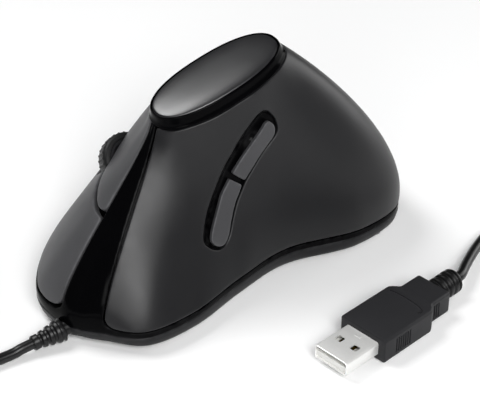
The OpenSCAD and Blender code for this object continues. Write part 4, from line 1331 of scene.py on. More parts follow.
@dataclass
class FingerButtons:
    """Index button and second finger's button, with the wheel's slot between them."""

    surface: ShellSurface
    fingers: FingerFrame
    seam: float = 0.9
    half: float = 0.009
    low_t: float = 0.045
    top_t: float = 0.985
    index_round: float = 0.03
    middle_round: float = 0.07
    corner: float = 0.14
    index_post: tuple[float, float] = (-12.0, 5.2)
    middle_post: tuple[float, float] = (12.0, 3.0)
    post: float = 3.0
    post_y: float = -2.4
    switch_top: float = -4.45

    def across(self, p: Array, t: Array) -> Array:
        """Rib numbers at shares of the button's length.

        Args:
            p: Shares from the rear to the front.
            t: Height shares.

        Returns:
            Rib numbers.
        """
        f = self.surface
        u0 = f.finger_rear + f.share(self.seam / 2, f.finger_rear, t)
        u1 = f.finger_front - f.share(self.seam, f.finger_front - 0.02, t)
        return u0 + (u1 - u0) * p

    def outline(self, low: float, high: float, rounding: float) -> tuple[Array, Array]:
        """Lower and upper edge of a button, both from the rear to the front.

        Args:
            low: Height share of the lower edge.
            high: Height share of the upper edge.
            rounding: Rise of the rounded front corner.

        Returns:
            Two rows of rib numbers and height shares.
        """
        p = np.concatenate([np.linspace(0, 1 - self.corner, 90),
                            1 - self.corner * np.linspace(1, 0, 40)[1:] ** 2])
        s = np.clip(1 - (1 - p) / self.corner, 0, 1)
        t = low + rounding * (1 - np.sqrt(1 - s * s))
        q = np.full_like(p, high)
        return np.stack([self.across(p, t), t], 1), np.stack([self.across(p, q), q], 1)

    def notched(self, edge: Array, slot: Array, upward: bool) -> Array:
        """Edge with the wheel's slot taken out of it.

        Args:
            edge: Edge from the rear to the front.
            slot: Loop of the wheel's slot.
            upward: Whether the slot's upper half cuts the edge.

        Returns:
            The edge round the slot.
        """
        line = edge[40, 1]
        over = slot[:-1, 1] > line if upward else slot[:-1, 1] < line
        turn = int(np.argmax(~over & np.roll(over, -1))) + 1
        run = np.roll(slot[:-1], -turn, 0)[np.roll(over, -turn)]
        run = run if run[0, 0] < run[-1, 0] else run[::-1]
        first, last = run[0, 0], run[-1, 0]
        return np.vstack([edge[edge[:, 0] < first - 0.01], [[first, line]], run, [[last, line]],
                          edge[edge[:, 0] > last + 0.01]])

    def joined(self, low: Array, high: Array) -> Array:
        """Loop along the lower edge, up the front, back and down the rear.

        Args:
            low: Lower edge.
            high: Upper edge.

        Returns:
            The closed loop.
        """
        ts = np.linspace(low[-1, 1], high[-1, 1], 50)
        front = np.stack([self.across(np.ones(50), ts), ts], 1)
        back = np.linspace(high[0, 1], low[0, 1], 50)
        rear = np.stack([self.across(np.zeros(50), back), back], 1)
        return np.vstack([low, front[1:], high[::-1][1:], rear[1:-1], low[:1]])

    def leg(self, x: float, top: float) -> Solid:
        """Post from a button down to its switch.

        Args:
            x: Place down the slope.
            top: Height of its upper end in the finger frame.

        Returns:
            The post.
        """
        height = top - self.switch_top
        block = box((self.post, self.post, height), (x, self.post_y, self.switch_top + height / 2), 0.3)
        return block.placed(self.fingers.matrix())

    def build(self) -> None:
        """Build both buttons and put them on their bodies."""
        f, k = self.surface, self.fingers
        slot = k.outline(f, (k.slot_half, k.slot_length), k.slot_corner, 0.0, lean=k.lean)
        low, high = self.outline(k.split + self.half, self.top_t, self.index_round)
        index = self.joined(self.notched(low, slot, True), high)
        low, high = self.outline(self.low_t, k.split - self.half, self.middle_round)
        second = self.joined(low, self.notched(high, slot, False))
        for name, loop, post, body, node in (
                ("index_button_plate", index, self.index_post, Body.INDEX, "index_button"),
                ("second_button_plate", second, self.middle_post, Body.MIDDLE, "middle_button")):
            plate = Plate(f, f.resample(loop, 0.6, 2), edge=0.5, spacing=1.4).solid()
            settle(shape(name, plate + self.leg(*post)), "finger_grey", body, node)


@dataclass
class ThumbButtons:
    """Two thumb buttons in a gloss trough."""

    surface: ShellSurface
    proud: float = 0.6
    under: float = 0.55
    floor: float = 1.4
    post: float = 3.0
    post_end: float = -15.86
    post_room: float = 1.85
    slot_front: tuple = ((4.93, 0.888), (4.72, 0.893), (4.35, 0.873), (3.98, 0.837), (3.67, 0.787),
                         (3.4, 0.74), (3.2, 0.673), (3.05, 0.603), (2.98, 0.53), (2.97, 0.46),
                         (3.02, 0.41), (3.16, 0.368), (3.28, 0.335))
    slot_rear: tuple = ((5.06, 0.87), (5.2, 0.81), (5.16, 0.74), (4.72, 0.69), (4.43, 0.645),
                        (4.17, 0.6), (4.05, 0.565), (3.9, 0.51), (3.8, 0.44), (3.74, 0.37),
                        (3.68, 0.325), (3.56, 0.298), (3.42, 0.308))
    high_front: tuple = ((4.9, 0.834), (4.83, 0.828), (4.68, 0.812), (4.47, 0.793), (4.25, 0.77),
                         (4.05, 0.747), (3.88, 0.724), (3.69, 0.697))
    high_rear: tuple = ((5.0, 0.828), (5.11, 0.79), (5.07, 0.748), (4.84, 0.72), (4.63, 0.697),
                        (4.48, 0.676), (4.32, 0.651), (4.07, 0.612))
    low_front: tuple = ((3.61, 0.678), (3.46, 0.645), (3.37, 0.62), (3.28, 0.557), (3.2, 0.493),
                        (3.16, 0.435), (3.2, 0.39), (3.32, 0.352))
    low_rear: tuple = ((3.99, 0.597), (3.9, 0.56), (3.8, 0.523), (3.71, 0.45), (3.66, 0.38), (3.61, 0.34),
                       (3.53, 0.32), (3.42, 0.33))

    def loop(self, front: tuple, rear: tuple) -> Array:
        """Closed outline between a front and a rear edge, its inside on the left.

        Args:
            front: Front edge from the top.
            rear: Rear edge from the top.

        Returns:
            Dense outline.
        """
        ahead, back = smooth_path(front, False), smooth_path(rear, False)[::-1]
        return np.vstack([ahead, back, ahead[:1]])

    def slot(self) -> Array:
        """Outline of the slot in the grip."""
        return self.loop(self.slot_front, self.slot_rear)

    def centre(self, front: tuple, rear: tuple) -> tuple[float, float]:
        """Middle of a button as rib number and height share."""
        a, b = np.array(front), np.array(rear)
        return tuple((a[3] + a[4] + b[3] + b[4]) / 4)

    def trough(self) -> Solid:
        """Gloss trough: steep on the rear side, wide and sloping on the front side.

        Returns:
            The trough, with holes for the posts.
        """
        f = self.surface
        loop = f.inset(f.resample(self.slot(), 0.5, 2), 0.12)
        mid = smooth_path([((a[0] + b[0]) / 2, (a[1] + b[1]) / 2)
                           for a, b in zip(self.slot_front, self.slot_rear)], False)
        lead = np.array([mid[np.argmin(((f.flat(mid) - p) ** 2).sum(1))] for p in f.flat(loop)])
        front = ((loop[:, 0] - lead[:, 0]) < 0).astype(float)
        for _ in range(30):
            front = (np.roll(front, 1) + 2 * front + np.roll(front, -1)) / 4
        reach = 0.1 + 0.9 * front
        holes = [f.post_hole(self.centre(a, b), self.post_room)
                 for a, b in ((self.high_front, self.high_rear), (self.low_front, self.low_rear))]
        rim = ((0.0, 0.62), (0.12, 0.5), (0.3, 0.52), (0.6, 0.68), (1.0, 0.98), (1.4, 1.2), (1.9, 1.35),
               (2.3, self.floor))
        return Plate(f, loop, holes, top=self.floor, bottom=1.85, spacing=1.2, profile=rim,
                     reach=reach).solid()

    def button(self, front: tuple, rear: tuple) -> Solid:
        """One thumb button with its post.

        Args:
            front: Front edge from the top.
            rear: Rear edge from the top.

        Returns:
            The button.
        """
        f = self.surface
        outer = f.resample(self.loop(front, rear), 0.35, 2)
        plate = Plate(f, outer, top=-self.proud, bottom=self.under, edge=0.32, spacing=0.9).solid()
        middle = f.point(np.array([self.centre(front, rear)]))[0]
        root = middle[0] + self.under - 0.4
        return plate + box((self.post_end - root, self.post, self.post),
                           ((self.post_end + root) / 2, middle[1], middle[2]), 0.25)

    def build(self) -> None:
        """Build the trough and both buttons."""
        settle(shape("thumb_trough", self.trough()), "gloss_black", Body.MOUSE, "thumb_bezel")
        high = self.button(self.high_front, self.high_rear)
        settle(shape("thumb_key_upper", high), "thumb_grey", Body.THUMB_HIGH, "thumb_button_high")
        low = self.button(self.low_front, self.low_rear)
        settle(shape("thumb_key_lower", low), "thumb_grey", Body.THUMB_LOW, "thumb_button_low")


@dataclass
class TopCap:
    """Matte cap in its gloss rim."""

    oval: TopOval
    steps: int = 160
    rim: tuple = ((1.7, 3.4), (1.74, 3.26), (1.7, 3.14), (1.56, 2.96), (1.3, 2.56), (1.08, 2.0), (0.92, 1.3),
                  (0.78, 0.6), (0.68, 0.3), (0.54, 0.1), (0.4, 0.02), (0.28, 0.0), (0.18, 0.06), (0.13, 0.2),
                  (0.12, 0.5), (0.12, 1.7), (-5.5, 1.7), (-5.5, 3.4))
    crown: tuple = ((0.985, 1.6), (1.0, 1.35), (1.0, 0.5), (0.998, 0.3), (0.99, 0.12), (0.975, 0.0),
                    (0.95, -0.1), (0.88, -0.26), (0.78, -0.44), (0.64, -0.6), (0.48, -0.7), (0.3, -0.77),
                    (0.12, -0.8))

    def build(self) -> None:
        """Build rim and cap."""
        turn = -np.linspace(0, 360, self.steps, endpoint=False)
        rim = loft([self.oval.ring(turn, out, drop) for out, drop in self.rim], Ends.LOOP)
        settle(shape("top_gloss_rim", rim), "gloss_black", Body.MOUSE, "top_rim")
        cap = loft([self.oval.ring(turn, 0.0, drop, share) for share, drop in self.crown])
        # Rings of the cap's rounded edge get full weight: rubbed wear and a painted highlight along the edge.
        cap.wear[3 * self.steps:6 * self.steps] = 1.0
        settle(shape("top_matte_cap", cap), "cap_grey", Body.MOUSE, "top_cap")


@dataclass
class BaseTray:
    """Base tray with bosses, screw recesses, sensor window and screws."""

    surface: ShellSurface
    wall: float = 2.0
    low: float = 0.6
    seam: float = 5.0
    board: float = 6.6
    window: tuple[float, float] = (9.0, 14.0)
    sensor: tuple[float, float] = (2.0, -20.0)
    screws: tuple = ((-28.738, 41.1), (-20.64, -28.685), (26.288, -27.788), (9.116, 44.038))
    bosses: tuple = ((-10.0, -12.0), (16.0, -12.0), (3.0, -43.0))
    steps: int = 300

    def ring(self, inset: float, z: float, share: float) -> Array:
        """Outline of the base at a height.

        Args:
            inset: Distance inside the belt.
            z: Height.
            share: Scale of the outline.

        Returns:
            Points of the ring.
        """
        uv = level(np.linspace(0, self.surface.count, self.steps, endpoint=False), 0.0)
        below = uv - (0, 0.02)
        p = self.surface.point(uv) - self.surface.normal(below) * inset
        return np.stack([p[:, 0] * share, p[:, 1] * share, np.full(self.steps, z)], 1)

    def build(self) -> None:
        """Build tray, bosses and screws."""
        floor = self.low + self.wall
        outer = [(3.0, self.low, 0.96), (0.9, self.low, 0.96), (0.35, 0.72, 0.962), (0.0, 1.1, 0.968),
                 (0.0, 2.2, 0.99), (0.0, 3.6, 0.997), (0.0, 4.55, 1.0), (0.05, 4.8, 1.0), (0.2, 4.95, 1.0),
                 (0.45, self.seam, 1.0)]
        inner = [(self.wall, self.seam, 1.0), (self.wall, floor + 0.6, 0.975), (self.wall + 0.6, floor, 0.97)]
        tray = loft([self.ring(*r) for r in outer + inner])
        # Rings of the tray's upper edge get full weight: rubbed wear and a painted highlight line along the
        # seam.
        tray.wear[6 * self.steps:9 * self.steps] = 1.0
        piece = shape("base_tray", tray)
        carve(piece, shape("window_cut", box((*self.window, 9.0), (*self.sensor, 2.0), 0.4)))
        bore, deep = 1.36, 3.2
        hole = revolve([(bore, -1.0), (2.5, -1.0), (2.5, deep), (bore, deep), (bore, 9.0)], 32, Ends.FANS)
        for at in self.screws:
            carve(piece, shape("screw_cut", hole.placed(Matrix.Translation((*at, 0)))))
        tower = revolve([(bore, deep), (3.4, deep), (3.4, self.seam - 0.2), (3.2, self.seam),
                         (bore, self.seam)], 40)
        boss = revolve([(2.2, floor - 0.4), (2.2, self.board - 0.2), (2.0, self.board)], 32, Ends.FANS)
        posts = [(tower, at) for at in self.screws] + [(boss, at) for at in self.bosses]
        first, *others = [post.placed(Matrix.Translation((*at, 0))) for post, at in posts]
        grow(piece, sum(others, first))
        settle(piece, "base_black", Body.MOUSE, "base_cover")
        self.build_screws()

    def build_screws(self) -> None:
        """Case screws with a cross recess, by geometry nodes."""
        recipe = Recipe("case_screw_row", {
            "Head Radius": 2.3 * MM, "Head Height": 1.3 * MM, "Head Middle": (0.0, 0.0, 0.65 * MM),
            "Shank Radius": 1.3 * MM, "Shank Height": 5.0 * MM, "Shank Middle": (0.0, 0.0, 3.75 * MM),
            "Recess": (2.6 * MM, 0.6 * MM, 1.4 * MM), "Turned Recess": (0.6 * MM, 2.6 * MM, 1.4 * MM)})
        head, shank = [recipe.node("GeometryNodeTransform", None, {
            "Geometry": recipe.cylinder(sides, f"{part} Radius", f"{part} Height"),
            "Translation": recipe.size(f"{part} Middle")}) for part, sides in (("Head", 40), ("Shank", 24))]
        cross = [recipe.node("GeometryNodeMeshCube", None, {"Size": recipe.size(label)})
                 for label in ("Recess", "Turned Recess")]
        cut = recipe.node("GeometryNodeMeshBoolean", {"operation": "DIFFERENCE"},
                          {"Mesh 1": head, "Mesh 2": cross})
        whole = recipe.node("GeometryNodeJoinGeometry", None, {0: [cut, shank]})
        recipe.close(recipe.size("Geometry"), whole)
        seeds = [(x * MM, y * MM, 1.8 * MM) for x, y in self.screws]
        piece = recipe.make("case_screw_set", PALETTE.screw_steel, seeds)
        tidy(piece.data, METAL_CREASE)
        settle(piece, "screw_steel", Body.MOUSE, "case_screws")


@dataclass
class ScrollWheel:
    """Wheel with hub, axle and ribbed tyre."""

    fingers: FingerFrame
    radius: float = 8.5
    width: float = 6.4
    hub: float = 6.18
    ribs: int = 30
    rib_radius: float = 0.5
    rib_rise: float = 0.2
    axle: float = 1.0

    def place(self) -> Matrix:
        """Matrix that lays the z axis along the axle, in millimetres."""
        return self.fingers.matrix() @ Matrix.Rotation(math.pi / 2, 4, "Y")

    def build(self) -> None:
        """Build tyre, ribs and hub, and put them on the wheel."""
        h, r = self.width / 2, self.radius - self.rib_rise
        side = [(6.2, 0.3), (6.4, 0.0), (7.2, 0.0), (7.75, 0.25), (8.1, 0.7), (r, 1.3)]
        tyre = revolve([(a, z - h) for a, z in side] + [(a, h - z) for a, z in side[::-1]], 120)
        body = shape("wheel_tyre_body", tyre.placed(self.place()))
        settle(body, "tyre_rubber", Body.WHEEL, "wheel_tyre")
        self.build_ribs()
        w = h - 0.4
        half = [(1.0, w), (2.2, w), (2.4, w - 0.2), (2.4, w - 0.8), (4.8, w - 0.8), (4.98, w - 0.2), (5.2, w),
                (6.0, w), (self.hub, w - 0.2)]
        disc = revolve([(a, -z) for a, z in half] + half[::-1], 96)
        pin = revolve([(0.8, -8.1), (self.axle, -7.9), (self.axle, 5.5), (0.8, 5.7)], 32, Ends.FANS)
        hub = shape("wheel_hub_disc", (disc + pin).placed(self.place()))
        settle(hub, "wheel_plastic", Body.WHEEL, "wheel_hub")

    def build_ribs(self) -> None:
        """Ribs of the tread, by geometry nodes."""
        recipe = Recipe("tread_ribs", {
            "Ribs": self.ribs, "Circle": (self.radius - self.rib_radius) * MM,
            "Rib Radius": self.rib_radius * MM, "Rib Length": (self.width - 2.4) * MM})
        circle = recipe.node("GeometryNodeMeshCircle", None,
                             {"Vertices": recipe.size("Ribs"), "Radius": recipe.size("Circle")})
        rib = recipe.cylinder(12, "Rib Radius", "Rib Length")
        recipe.close(circle, rib)
        piece = recipe.make("wheel_tread_ribs", PALETTE.tyre_rubber)
        lay(piece, self.place())
        tidy(piece.data, CREASE)
        settle(piece, "tyre_rubber", Body.WHEEL)


@dataclass
class Boot:
    """Ringed rubber boot round the cord."""

    root: float
    tip: float
    length: float
    rings: int
    bore: float = 1.65
    groove: float = 0.55
    lip: float = 0.9
    sleeve: float = 2.2

    def solid(self, start: float = 0.0) -> Solid:
        """Boot along +z.

        Args:
            start: Height of its root.

        Returns:
            The boot.
        """
        profile = [(self.bore, start), (self.root - 0.25, start), (self.root, start + 0.25)]
        run = self.length - self.lip - self.sleeve
        n = self.rings * 16
        for k in range(n + 1):
            s = k / n
            off = abs(s * self.rings - round(s * self.rings))
            rise = min(1.0, max(0.0, (off - 0.1) / 0.2))
            dip = self.groove * (1 - rise * rise * (3 - 2 * rise))
            profile.append((self.root + (self.tip - self.root) * s - dip, start + self.lip + run * s))
        end = start + self.length
        profile += [(self.tip - 0.1, end - self.sleeve + 0.3), (self.tip - 0.1, end - 0.35),
                    (self.tip - 0.35, end), (self.bore, end)]
        return revolve(profile, 48)


@dataclass
class CordRun:
    """Cord from the boot through its coil to the plug, with boot and tie, in millimetres."""

    radius: float = 1.6
    relief: tuple[float, float, float] = (-17.4, 60.8635, 3.75)
    dip: float = 6.0
    relief_length: float = 9.8
    coil_middle: tuple[float, float] = (-89.0, 95.0)
    coil_start: float = -33.0
    coil_out: float = 20.625
    coil_in: float = 10.375
    coil_low: float = 2.45
    pitch: float = 4.1
    layer_rise: float = 3.7
    layers: int = 4
    turn_points: int = 16
    lead_way: tuple = ((-17.4, 77, 1.8), (-17.4, 84, 1.6), (-18, 95, 1.6), (-24, 104, 1.6), (-33, 110, 1.6),
                       (-43.5, 112, 1.6), (-54, 109, 1.6), (-62, 101.5, 1.8))
    tail_way: tuple = ((-77, 72.5, 12.6), (-82, 62, 9), (-87, 51.5, 4.6), (-92, 40.5, 2), (-97.5, 28.5, 1.6),
                       (-104, 13, 1.6), (-110, -3, 1.6), (-114, -19, 1.6), (-112, -35, 1.6), (-104, -51, 1.6),
                       (-93, -66, 1.6), (-80, -80, 1.6), (-66, -90, 1.6), (-53, -91, 1.6), (-45.5, -83, 1.6),
                       (-46, -73.5, 2.1), (-50.5, -64.5, 2.9), (-56, -56, 3.6))
    plug_end: tuple[float, float, float] = (-60.3486, -47.3633, 4.0)
    inner_way: tuple = ((-17.4, 51.86, 4.6), (-17.4, 30, 4.4), (-17.4, 10, 4.4), (-15, -2, 6),
                        (-11, -9, 10.5), (-8, -13.5, 11))

    def way(self) -> Array:
        """Direction in which the cord leaves the boot."""
        a = math.radians(self.dip)
        return np.array([0, math.cos(a), -math.sin(a)])

    def tip(self) -> Array:
        """Tip of the boot on the mouse."""
        return np.array(self.relief) + self.relief_length * self.way()

    def coil(self) -> Array:
        """Points of the coil, wound clockwise seen from above.

        Returns:
            Points from the outer turn at the floor to the top.
        """
        out = []
        for k in range(3 * self.layers * self.turn_points + 1):
            turn = k / self.turn_points
            layer = min(int(turn // 3), self.layers - 1)
            s = turn - 3 * layer
            top = layer == self.layers - 1
            wound = s if top else min(s, 2.5)
            r = self.coil_in + self.pitch * wound if layer % 2 else self.coil_out - self.pitch * wound
            c = 0.0 if top else max(0.0, s - 2.5) / 0.5
            a = math.radians(self.coil_start - 360 * turn)
            out.append((self.coil_middle[0] + r * math.cos(a), self.coil_middle[1] + r * math.sin(a),
                        self.coil_low + self.layer_rise * (layer + c * c * (3 - 2 * c))))
        return np.array(out)

    def route(self) -> Array:
        """All points of the cord from the boot to the plug.

        Returns:
            Points in millimetres.
        """
        coil = self.coil()
        into = (coil[1] - coil[0]) / np.linalg.norm(coil[1] - coil[0])
        on = (coil[-1] - coil[-2]) / np.linalg.norm(coil[-1] - coil[-2])
        a = math.radians(PLUG_TURN)
        plug = np.array([-math.sin(a), math.cos(a), 0])
        end = np.array(self.plug_end)
        hold, free = 1.0, 3.4
        lead = [self.tip() - hold * self.way(), self.tip() + free * self.way(), *map(np.array, self.lead_way),
                coil[0] - 9 * into - (0, 0, 0.4), coil[0] - free * into]
        tail = [coil[-1] + free * on, *map(np.array, self.tail_way), end - free * plug, end + hold * plug]
        return np.vstack([lead, coil, tail])

    def curve(self, name: str, points: Array, radius: float) -> bpy.types.Object:
        """Round cord on one smooth open spline.

        Args:
            name: Name of the piece.
            points: Points in millimetres.
            radius: Radius in millimetres.

        Returns:
            The curve object.
        """
        data = bpy.data.curves.new(name, "CURVE")
        data.dimensions = "3D"
        data.bevel_depth = radius * MM
        data.bevel_resolution = 5
        data.resolution_u = 6
        data.use_fill_caps = True
        line = data.splines.new("BEZIER")
        line.bezier_points.add(len(points) - 1)
        pull = (np.vstack([points[1:], points[-1:]]) - np.vstack([points[:1], points[:-1]])) / 6
        for knot, p, d in zip(line.bezier_points, points, pull):
            knot.handle_left_type = knot.handle_right_type = "FREE"
            knot.co = p * MM
            knot.handle_left = (p - d) * MM
            knot.handle_right = (p + d) * MM
        return placed_object(name, data)

    def length(self) -> float:
        """Length of the route in metres."""
        dense = smooth_path(self.route(), False, 12)
        return float(np.linalg.norm(np.diff(dense, axis=0), axis=1).sum()) * MM

    def tie(self) -> Solid:
        """Strap round one side of the coil.

        Returns:
            The strap.
        """
        out = self.radius + 0.25
        low, high = self.coil_low - out, self.coil_low + 3 * self.layer_rise + out
        r0, r1 = self.coil_in - out - 0.3, self.coil_out + self.pitch / 2 + out
        half = ((r1 - r0) / 2 + 0.3, (high - low) / 2 + 0.3)
        middle = np.array([(r0 + r1) / 2, 0, (low + high) / 2])
        side = [(-2.5, 0.1), (-2.3, 0.28), (2.3, 0.28), (2.5, 0.1)]
        done = loft([rounded_rect(half[0] + d, half[1] + d, 1.2, 8) + middle + (0, w, 0)
                     for w, d in side + [(w, -d) for w, d in side[::-1]]], Ends.LOOP)
        turn = Matrix.Translation((*self.coil_middle, 0)) @ Matrix.Rotation(math.radians(150), 4, "Z")
        tab = box((0.5, 4.4, 6.0), (r1 + 0.85, 0.0, (low + high) / 2), 0.2)
        return (done + tab).placed(turn)

    def build(self) -> tuple[bpy.types.Object, list[bpy.types.Object]]:
        """Build cord, boot, tie and the lead inside the mouse.

        Returns:
            The cord, and the pieces on it.
        """
        cord = self.curve("cord_line", self.route(), self.radius)
        settle(cord, "cord_sheath", Body.MOUSE, "cord_lead", "cord_coil", "cord_tail")
        place = Matrix.Translation(self.relief) @ Matrix.Rotation(-math.radians(90 + self.dip), 4, "X")
        boot = Boot(3.55, 2.3, self.relief_length - 0.15, 3).solid(0.15)
        neck = revolve([(1.65, -3.0), (2.2, -3.0), (2.2, 0.5), (1.65, 0.5)], 40)
        boot_piece = shape("cord_boot", (boot + neck).placed(place))
        settle(boot_piece, "boot_rubber", Body.MOUSE, "cord_relief")
        tie = settle(shape("cord_strap", self.tie()), "tie_black", Body.MOUSE, "cord_tie")
        start = np.array(self.relief) - 3.6 * self.way()
        lead = self.curve("inner_lead_line", np.vstack([start, np.array(self.inner_way)]), self.radius - 0.1)
        mesh = evaluated(lead, "inner_lead")
        bpy.data.objects.remove(lead)
        inner = placed_object("inner_lead", mesh)
        mesh.shade_smooth()
        settle(inner, "cord_sheath", Body.MOUSE, "inner_cable")
        return cord, [boot_piece, tie]


@dataclass
class Plug:
    """Plug: overmould with grip grooves, boot and nickel shell, +y out of the shell."""

    at: tuple[float, float, float] = (-68.0, -8.0, 0.0)
    middle: float = 4.0
    shell: tuple[float, float, float] = (12.0, 13.2, 4.5)
    sheet: float = 0.35
    grip: tuple = ((0.0, 7.9, 3.4, 0.6), (-0.06, 8.2, 3.7, 0.7), (-0.22, 8.42, 3.92, 0.8),
                   (-0.5, 8.5, 4.0, 0.85), (-10.0, 8.5, 4.0, 0.85), (-19.6, 8.5, 4.0, 0.85),
                   (-20.2, 8.4, 3.98, 0.85), (-20.9, 8.0, 3.9, 0.85), (-21.7, 7.3, 3.78, 0.85),
                   (-22.4, 6.65, 3.69, 0.85),
                   (-23.0, 6.28, 3.66, 0.85), (-23.6, 6.15, 3.65, 0.85), (-30.5, 6.15, 3.65, 0.85),
                   (-30.85, 6.05, 3.55, 0.8), (-31.03, 5.85, 3.35, 0.7), (-31.1, 5.5, 3.0, 0.6))
    grooves: int = 7
    head_grooves: int = 3
    pitch: float = 0.95

    def matrix(self) -> Matrix:
        """Place of the plug in millimetres."""
        return Matrix.Translation(self.at) @ Matrix.Rotation(math.radians(PLUG_TURN), 4, "Z")

    def build(self) -> list[bpy.types.Object]:
        """Build all pieces of the plug.

        Returns:
            The pieces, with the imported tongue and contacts.
        """
        rings = [rounded_rect(w, h, r, 7) + (0, y, self.middle) for y, w, h, r in self.grip]
        body = shape("plug_grip", loft(rings).placed(self.matrix()))
        for name, start, count, x in (("groove", -5.0, self.grooves, 8.36),
                                      ("head_groove", -24.1, self.head_grooves, 6.0)):
            for side in (-1, 1):
                carve(body, self.cutters(name, start, count, side * x))
        carve(body, self.step_line())
        settle(body, "plug_black", Body.MOUSE, "plug_body")
        back = Matrix.Translation((0, -31.2, self.middle)) @ Matrix.Rotation(math.pi / 2, 4, "X")
        boot = Boot(3.8, 3.9, 8.9, 3, sleeve=0.9).solid().placed(self.matrix() @ back)
        boot = shape("plug_boot", boot)
        settle(boot, "boot_rubber", Body.MOUSE, "plug_relief")
        shell = self.build_shell()
        return [body, boot, shell, frame["nodes"]["plug_tongue"], frame["nodes"]["plug_contacts"]]

    def cutters(self, name: str, start: float, count: int, x: float) -> bpy.types.Object:
        """Row of cutters for the grip grooves, by geometry nodes.

        Args:
            name: Name of the row.
            start: Place of the first groove.
            count: Number of grooves.
            x: Side of the grip.

        Returns:
            The cutters in place.
        """
        recipe = Recipe(name + "_row", {
            "Grooves": count, "First": (x * MM, start * MM, self.middle * MM),
            "Step": (0.0, -self.pitch * MM, 0.0), "Radius": 0.33 * MM, "Height": 5.0 * MM})
        row = recipe.node("GeometryNodeMeshLine", {"mode": "OFFSET"}, {
            "Count": recipe.size("Grooves"), "Start Location": recipe.size("First"),
            "Offset": recipe.size("Step")})
        bar = recipe.cylinder(12, "Radius", "Height")
        recipe.close(row, bar)
        made = recipe.make(name, PALETTE.plug_black)
        lay(made, self.matrix())
        return made

    def step_line(self) -> bpy.types.Object:
        """Thin curved line across the top of the grip, as a cutter.

        Returns:
            The cutter in place.
        """
        line = smooth_path([(-6.2, -16.3), (-6.6, -17.4), (-5.6, -18.3), (-3.0, -18.9), (0.5, -19.2),
                            (4.0, -19.1), (6.6, -18.7)], False, 6)
        points = [np.array([x, y, 2 * self.middle - 0.14]) for x, y in line]
        radius, turns = 0.36, np.linspace(0, 2 * math.pi, 10, endpoint=False)
        rings = []
        for k, p in enumerate(points):
            way = points[min(k + 1, len(points) - 1)] - points[max(k - 1, 0)]
            side = np.array([way[1], -way[0], 0]) / np.linalg.norm(way)
            rings.append(np.array([p + radius * (math.cos(a) * side + (0, 0, math.sin(a))) for a in turns]))
        return shape("step_cut", loft(rings).placed(self.matrix()))

    def build_shell(self) -> bpy.types.Object:
        """Nickel shell with two windows and a pressed mark on top.

        Returns:
            The shell.
        """
        w, l, h = self.shell[0] / 2, self.shell[1], self.shell[2] / 2
        t = self.sheet
        rows = [(0.05, 0.0), (l - 0.2, 0.0), (l - 0.03, 0.05), (l + 0.05, 0.14), (l + 0.05, t - 0.1),
                (l - 0.05, t), (t, t)]
        rings = [rounded_rect(w - i, h - i, max(0.75 - i, 0.3), 6) + (0, y, self.middle) for y, i in rows]
        piece = shape("plug_shell_nickel", loft(rings).placed(self.matrix()), METAL_CREASE)
        for x in (-2.9, 2.9):
            hole = box((2.4, 2.4, 9.0), (x, 6.4, self.middle), 0.25)
            carve(piece, shape("window_cut", hole.placed(self.matrix())), METAL_CREASE)
        pad = box((2.0, 0.9, 0.3), (0.1, 1.9, self.middle + h), 0.12)
        grow(piece, pad.placed(self.matrix()))
        return settle(piece, "plug_steel", Body.MOUSE, "plug_shell")


@dataclass
class InnerWorks:
    """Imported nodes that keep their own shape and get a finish."""

    def dress(self) -> None:
        """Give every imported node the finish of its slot."""
        for part in frame["record"]["subparts"]:
            node = frame["nodes"][part["node"]]
            finish: Finish = getattr(PALETTE, part["material_slot"])
            for holder in node.material_slots:
                holder.material = finish.material()
            LOG.info("%s as %s", part["node"], finish.name)


@dataclass
class Lamp:
    """Soft square lamp aimed at the mouse, in metres and watts."""

    name: str
    at: tuple[float, float, float]
    size: float
    power: float
    aim: tuple[float, float, float] = (0.0, 0.0, 0.03)

    def build(self) -> None:
        """Hang the lamp."""
        data = bpy.data.lights.new(self.name, "AREA")
        data.shape = "SQUARE"
        data.size = self.size
        data.energy = self.power
        made = placed_object(self.name, data)
        made.location = self.at
        made.rotation_euler = (Vector(self.aim) - Vector(self.at)).to_track_quat("-Z", "Y").to_euler()


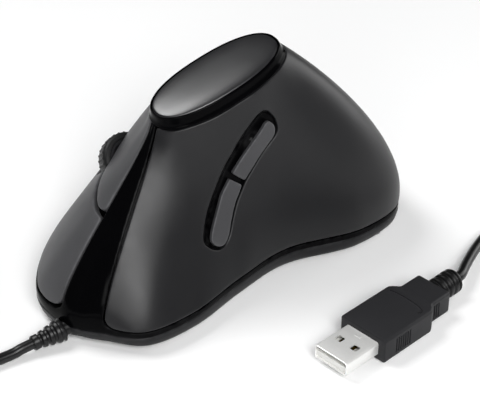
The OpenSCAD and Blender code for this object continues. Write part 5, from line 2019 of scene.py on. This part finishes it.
@dataclass
class Studio:
    """Pale floor, soft lamps and the camera."""

    azimuth: float = 237.0
    elevation: float = 34.5
    distance: float = 483.2
    pivot: tuple[float, float, float] = (-0.5, 2.0, 0.0)
    aside: float = 10.48388
    above: float = 10.94214
    focal: float = 116.25
    lamps: tuple[Lamp, ...] = (
        Lamp("front", (-0.592, 0.159, 0.544), 0.35, 4.6), Lamp("edge", (-0.551, 0.496, 0.33), 0.3, 1.4),
        Lamp("top", (0.397, 0.229, 0.685), 0.38, 3.9), Lamp("rear", (-0.106, -0.753, 0.277), 0.5, 2.8))
    air: tuple[float, float, float, float] = (0.92, 0.93, 0.95, 1.0)
    air_strength: float = 0.05
    paper: tuple[float, float, float, float] = (0.9, 0.9, 0.9, 1.0)
    paper_glow: float = 0.06
    floor_reach: float = 4.0

    def build(self) -> None:
        """Build camera, floor, lamps and world."""
        self.build_camera()
        for lamp in self.lamps:
            lamp.build()
        self.build_floor()
        world = bpy.data.worlds.new("studio air")
        world.use_nodes = True
        sockets = world.node_tree.nodes["Background"].inputs
        sockets["Color"].default_value = self.air
        sockets["Strength"].default_value = self.air_strength
        bpy.context.scene.world = world
        bpy.context.scene.view_settings.view_transform = "Standard"

    def build_camera(self) -> None:
        """Set the camera at the photograph's place."""
        a, e = math.radians(self.azimuth), math.radians(self.elevation)
        back = Vector((math.sin(a) * math.cos(e), -math.cos(a) * math.cos(e), math.sin(e)))
        right = Vector((math.cos(a), math.sin(a), 0))
        up = back.cross(right)
        eye = Vector(self.pivot) + right * self.aside + up * self.above + back * self.distance
        data = bpy.data.cameras.new("camera")
        data.lens = self.focal
        data.sensor_width = 36.0
        data.clip_start, data.clip_end = 0.01, 50.0
        made = placed_object("camera", data)
        made.matrix_world = Matrix.Translation(eye * MM) @ Matrix((right, up, back)).transposed().to_4x4()
        bpy.context.scene.camera = made

    def build_floor(self) -> None:
        """Lay the pale floor."""
        mesh = bpy.data.meshes.new("floor")
        n, reach = 24, self.floor_reach
        turns = [2 * math.pi * k / n for k in range(n)]
        mesh.from_pydata([(reach * math.cos(a), reach * math.sin(a), -0.0002) for a in turns], [],
                         [tuple(range(n))])
        mesh.materials.append(self.paper_material())
        floor = placed_object("floor", mesh)

    def paper_material(self) -> bpy.types.Material:
        """Matte white with a faint glow for rays from the camera, mirrors and clear parts.

        Returns:
            The material.
        """
        made = bpy.data.materials.new("floor paper")
        made.use_nodes = True
        made.node_tree.nodes.clear()
        wiring = Wiring(made.node_tree)
        paper = wiring.node("ShaderNodeBsdfDiffuse", None, {"Color": self.paper})
        seen = [wiring.node("ShaderNodeLightPath", None, None, out=o)
                for o in ("Is Camera Ray", "Is Glossy Ray", "Is Transmission Ray")]
        shown = (seen[0] | seen[1] | seen[2]) * self.paper_glow
        glow = wiring.node("ShaderNodeEmission", None, {"Strength": shown})
        both = wiring.node("ShaderNodeAddShader", None, {0: paper, 1: glow})
        wiring.node("ShaderNodeOutputMaterial", None, {"Surface": both})
        return made


def main() -> None:
    """Build the studio and every sub-assembly."""
    logging.basicConfig(level=logging.INFO, format="%(message)s")
    surface = ShellSurface()
    fingers = FingerFrame()
    thumb = ThumbButtons(surface)
    Studio().build()
    run = CordRun()
    cord, on_cord = run.build()
    plug = Plug().build()
    tuple(run.tip() * MM)
    run.length()
    on_cord + plug
    SpineFrame(surface, fingers).build()
    GripShell(surface, thumb.slot()).build()
    FingerButtons(surface, fingers).build()
    thumb.build()
    TopCap(surface.oval).build()
    BaseTray(surface).build()
    ScrollWheel(fingers).build()
    InnerWorks().dress()


if __name__ == "__main__":
    main()
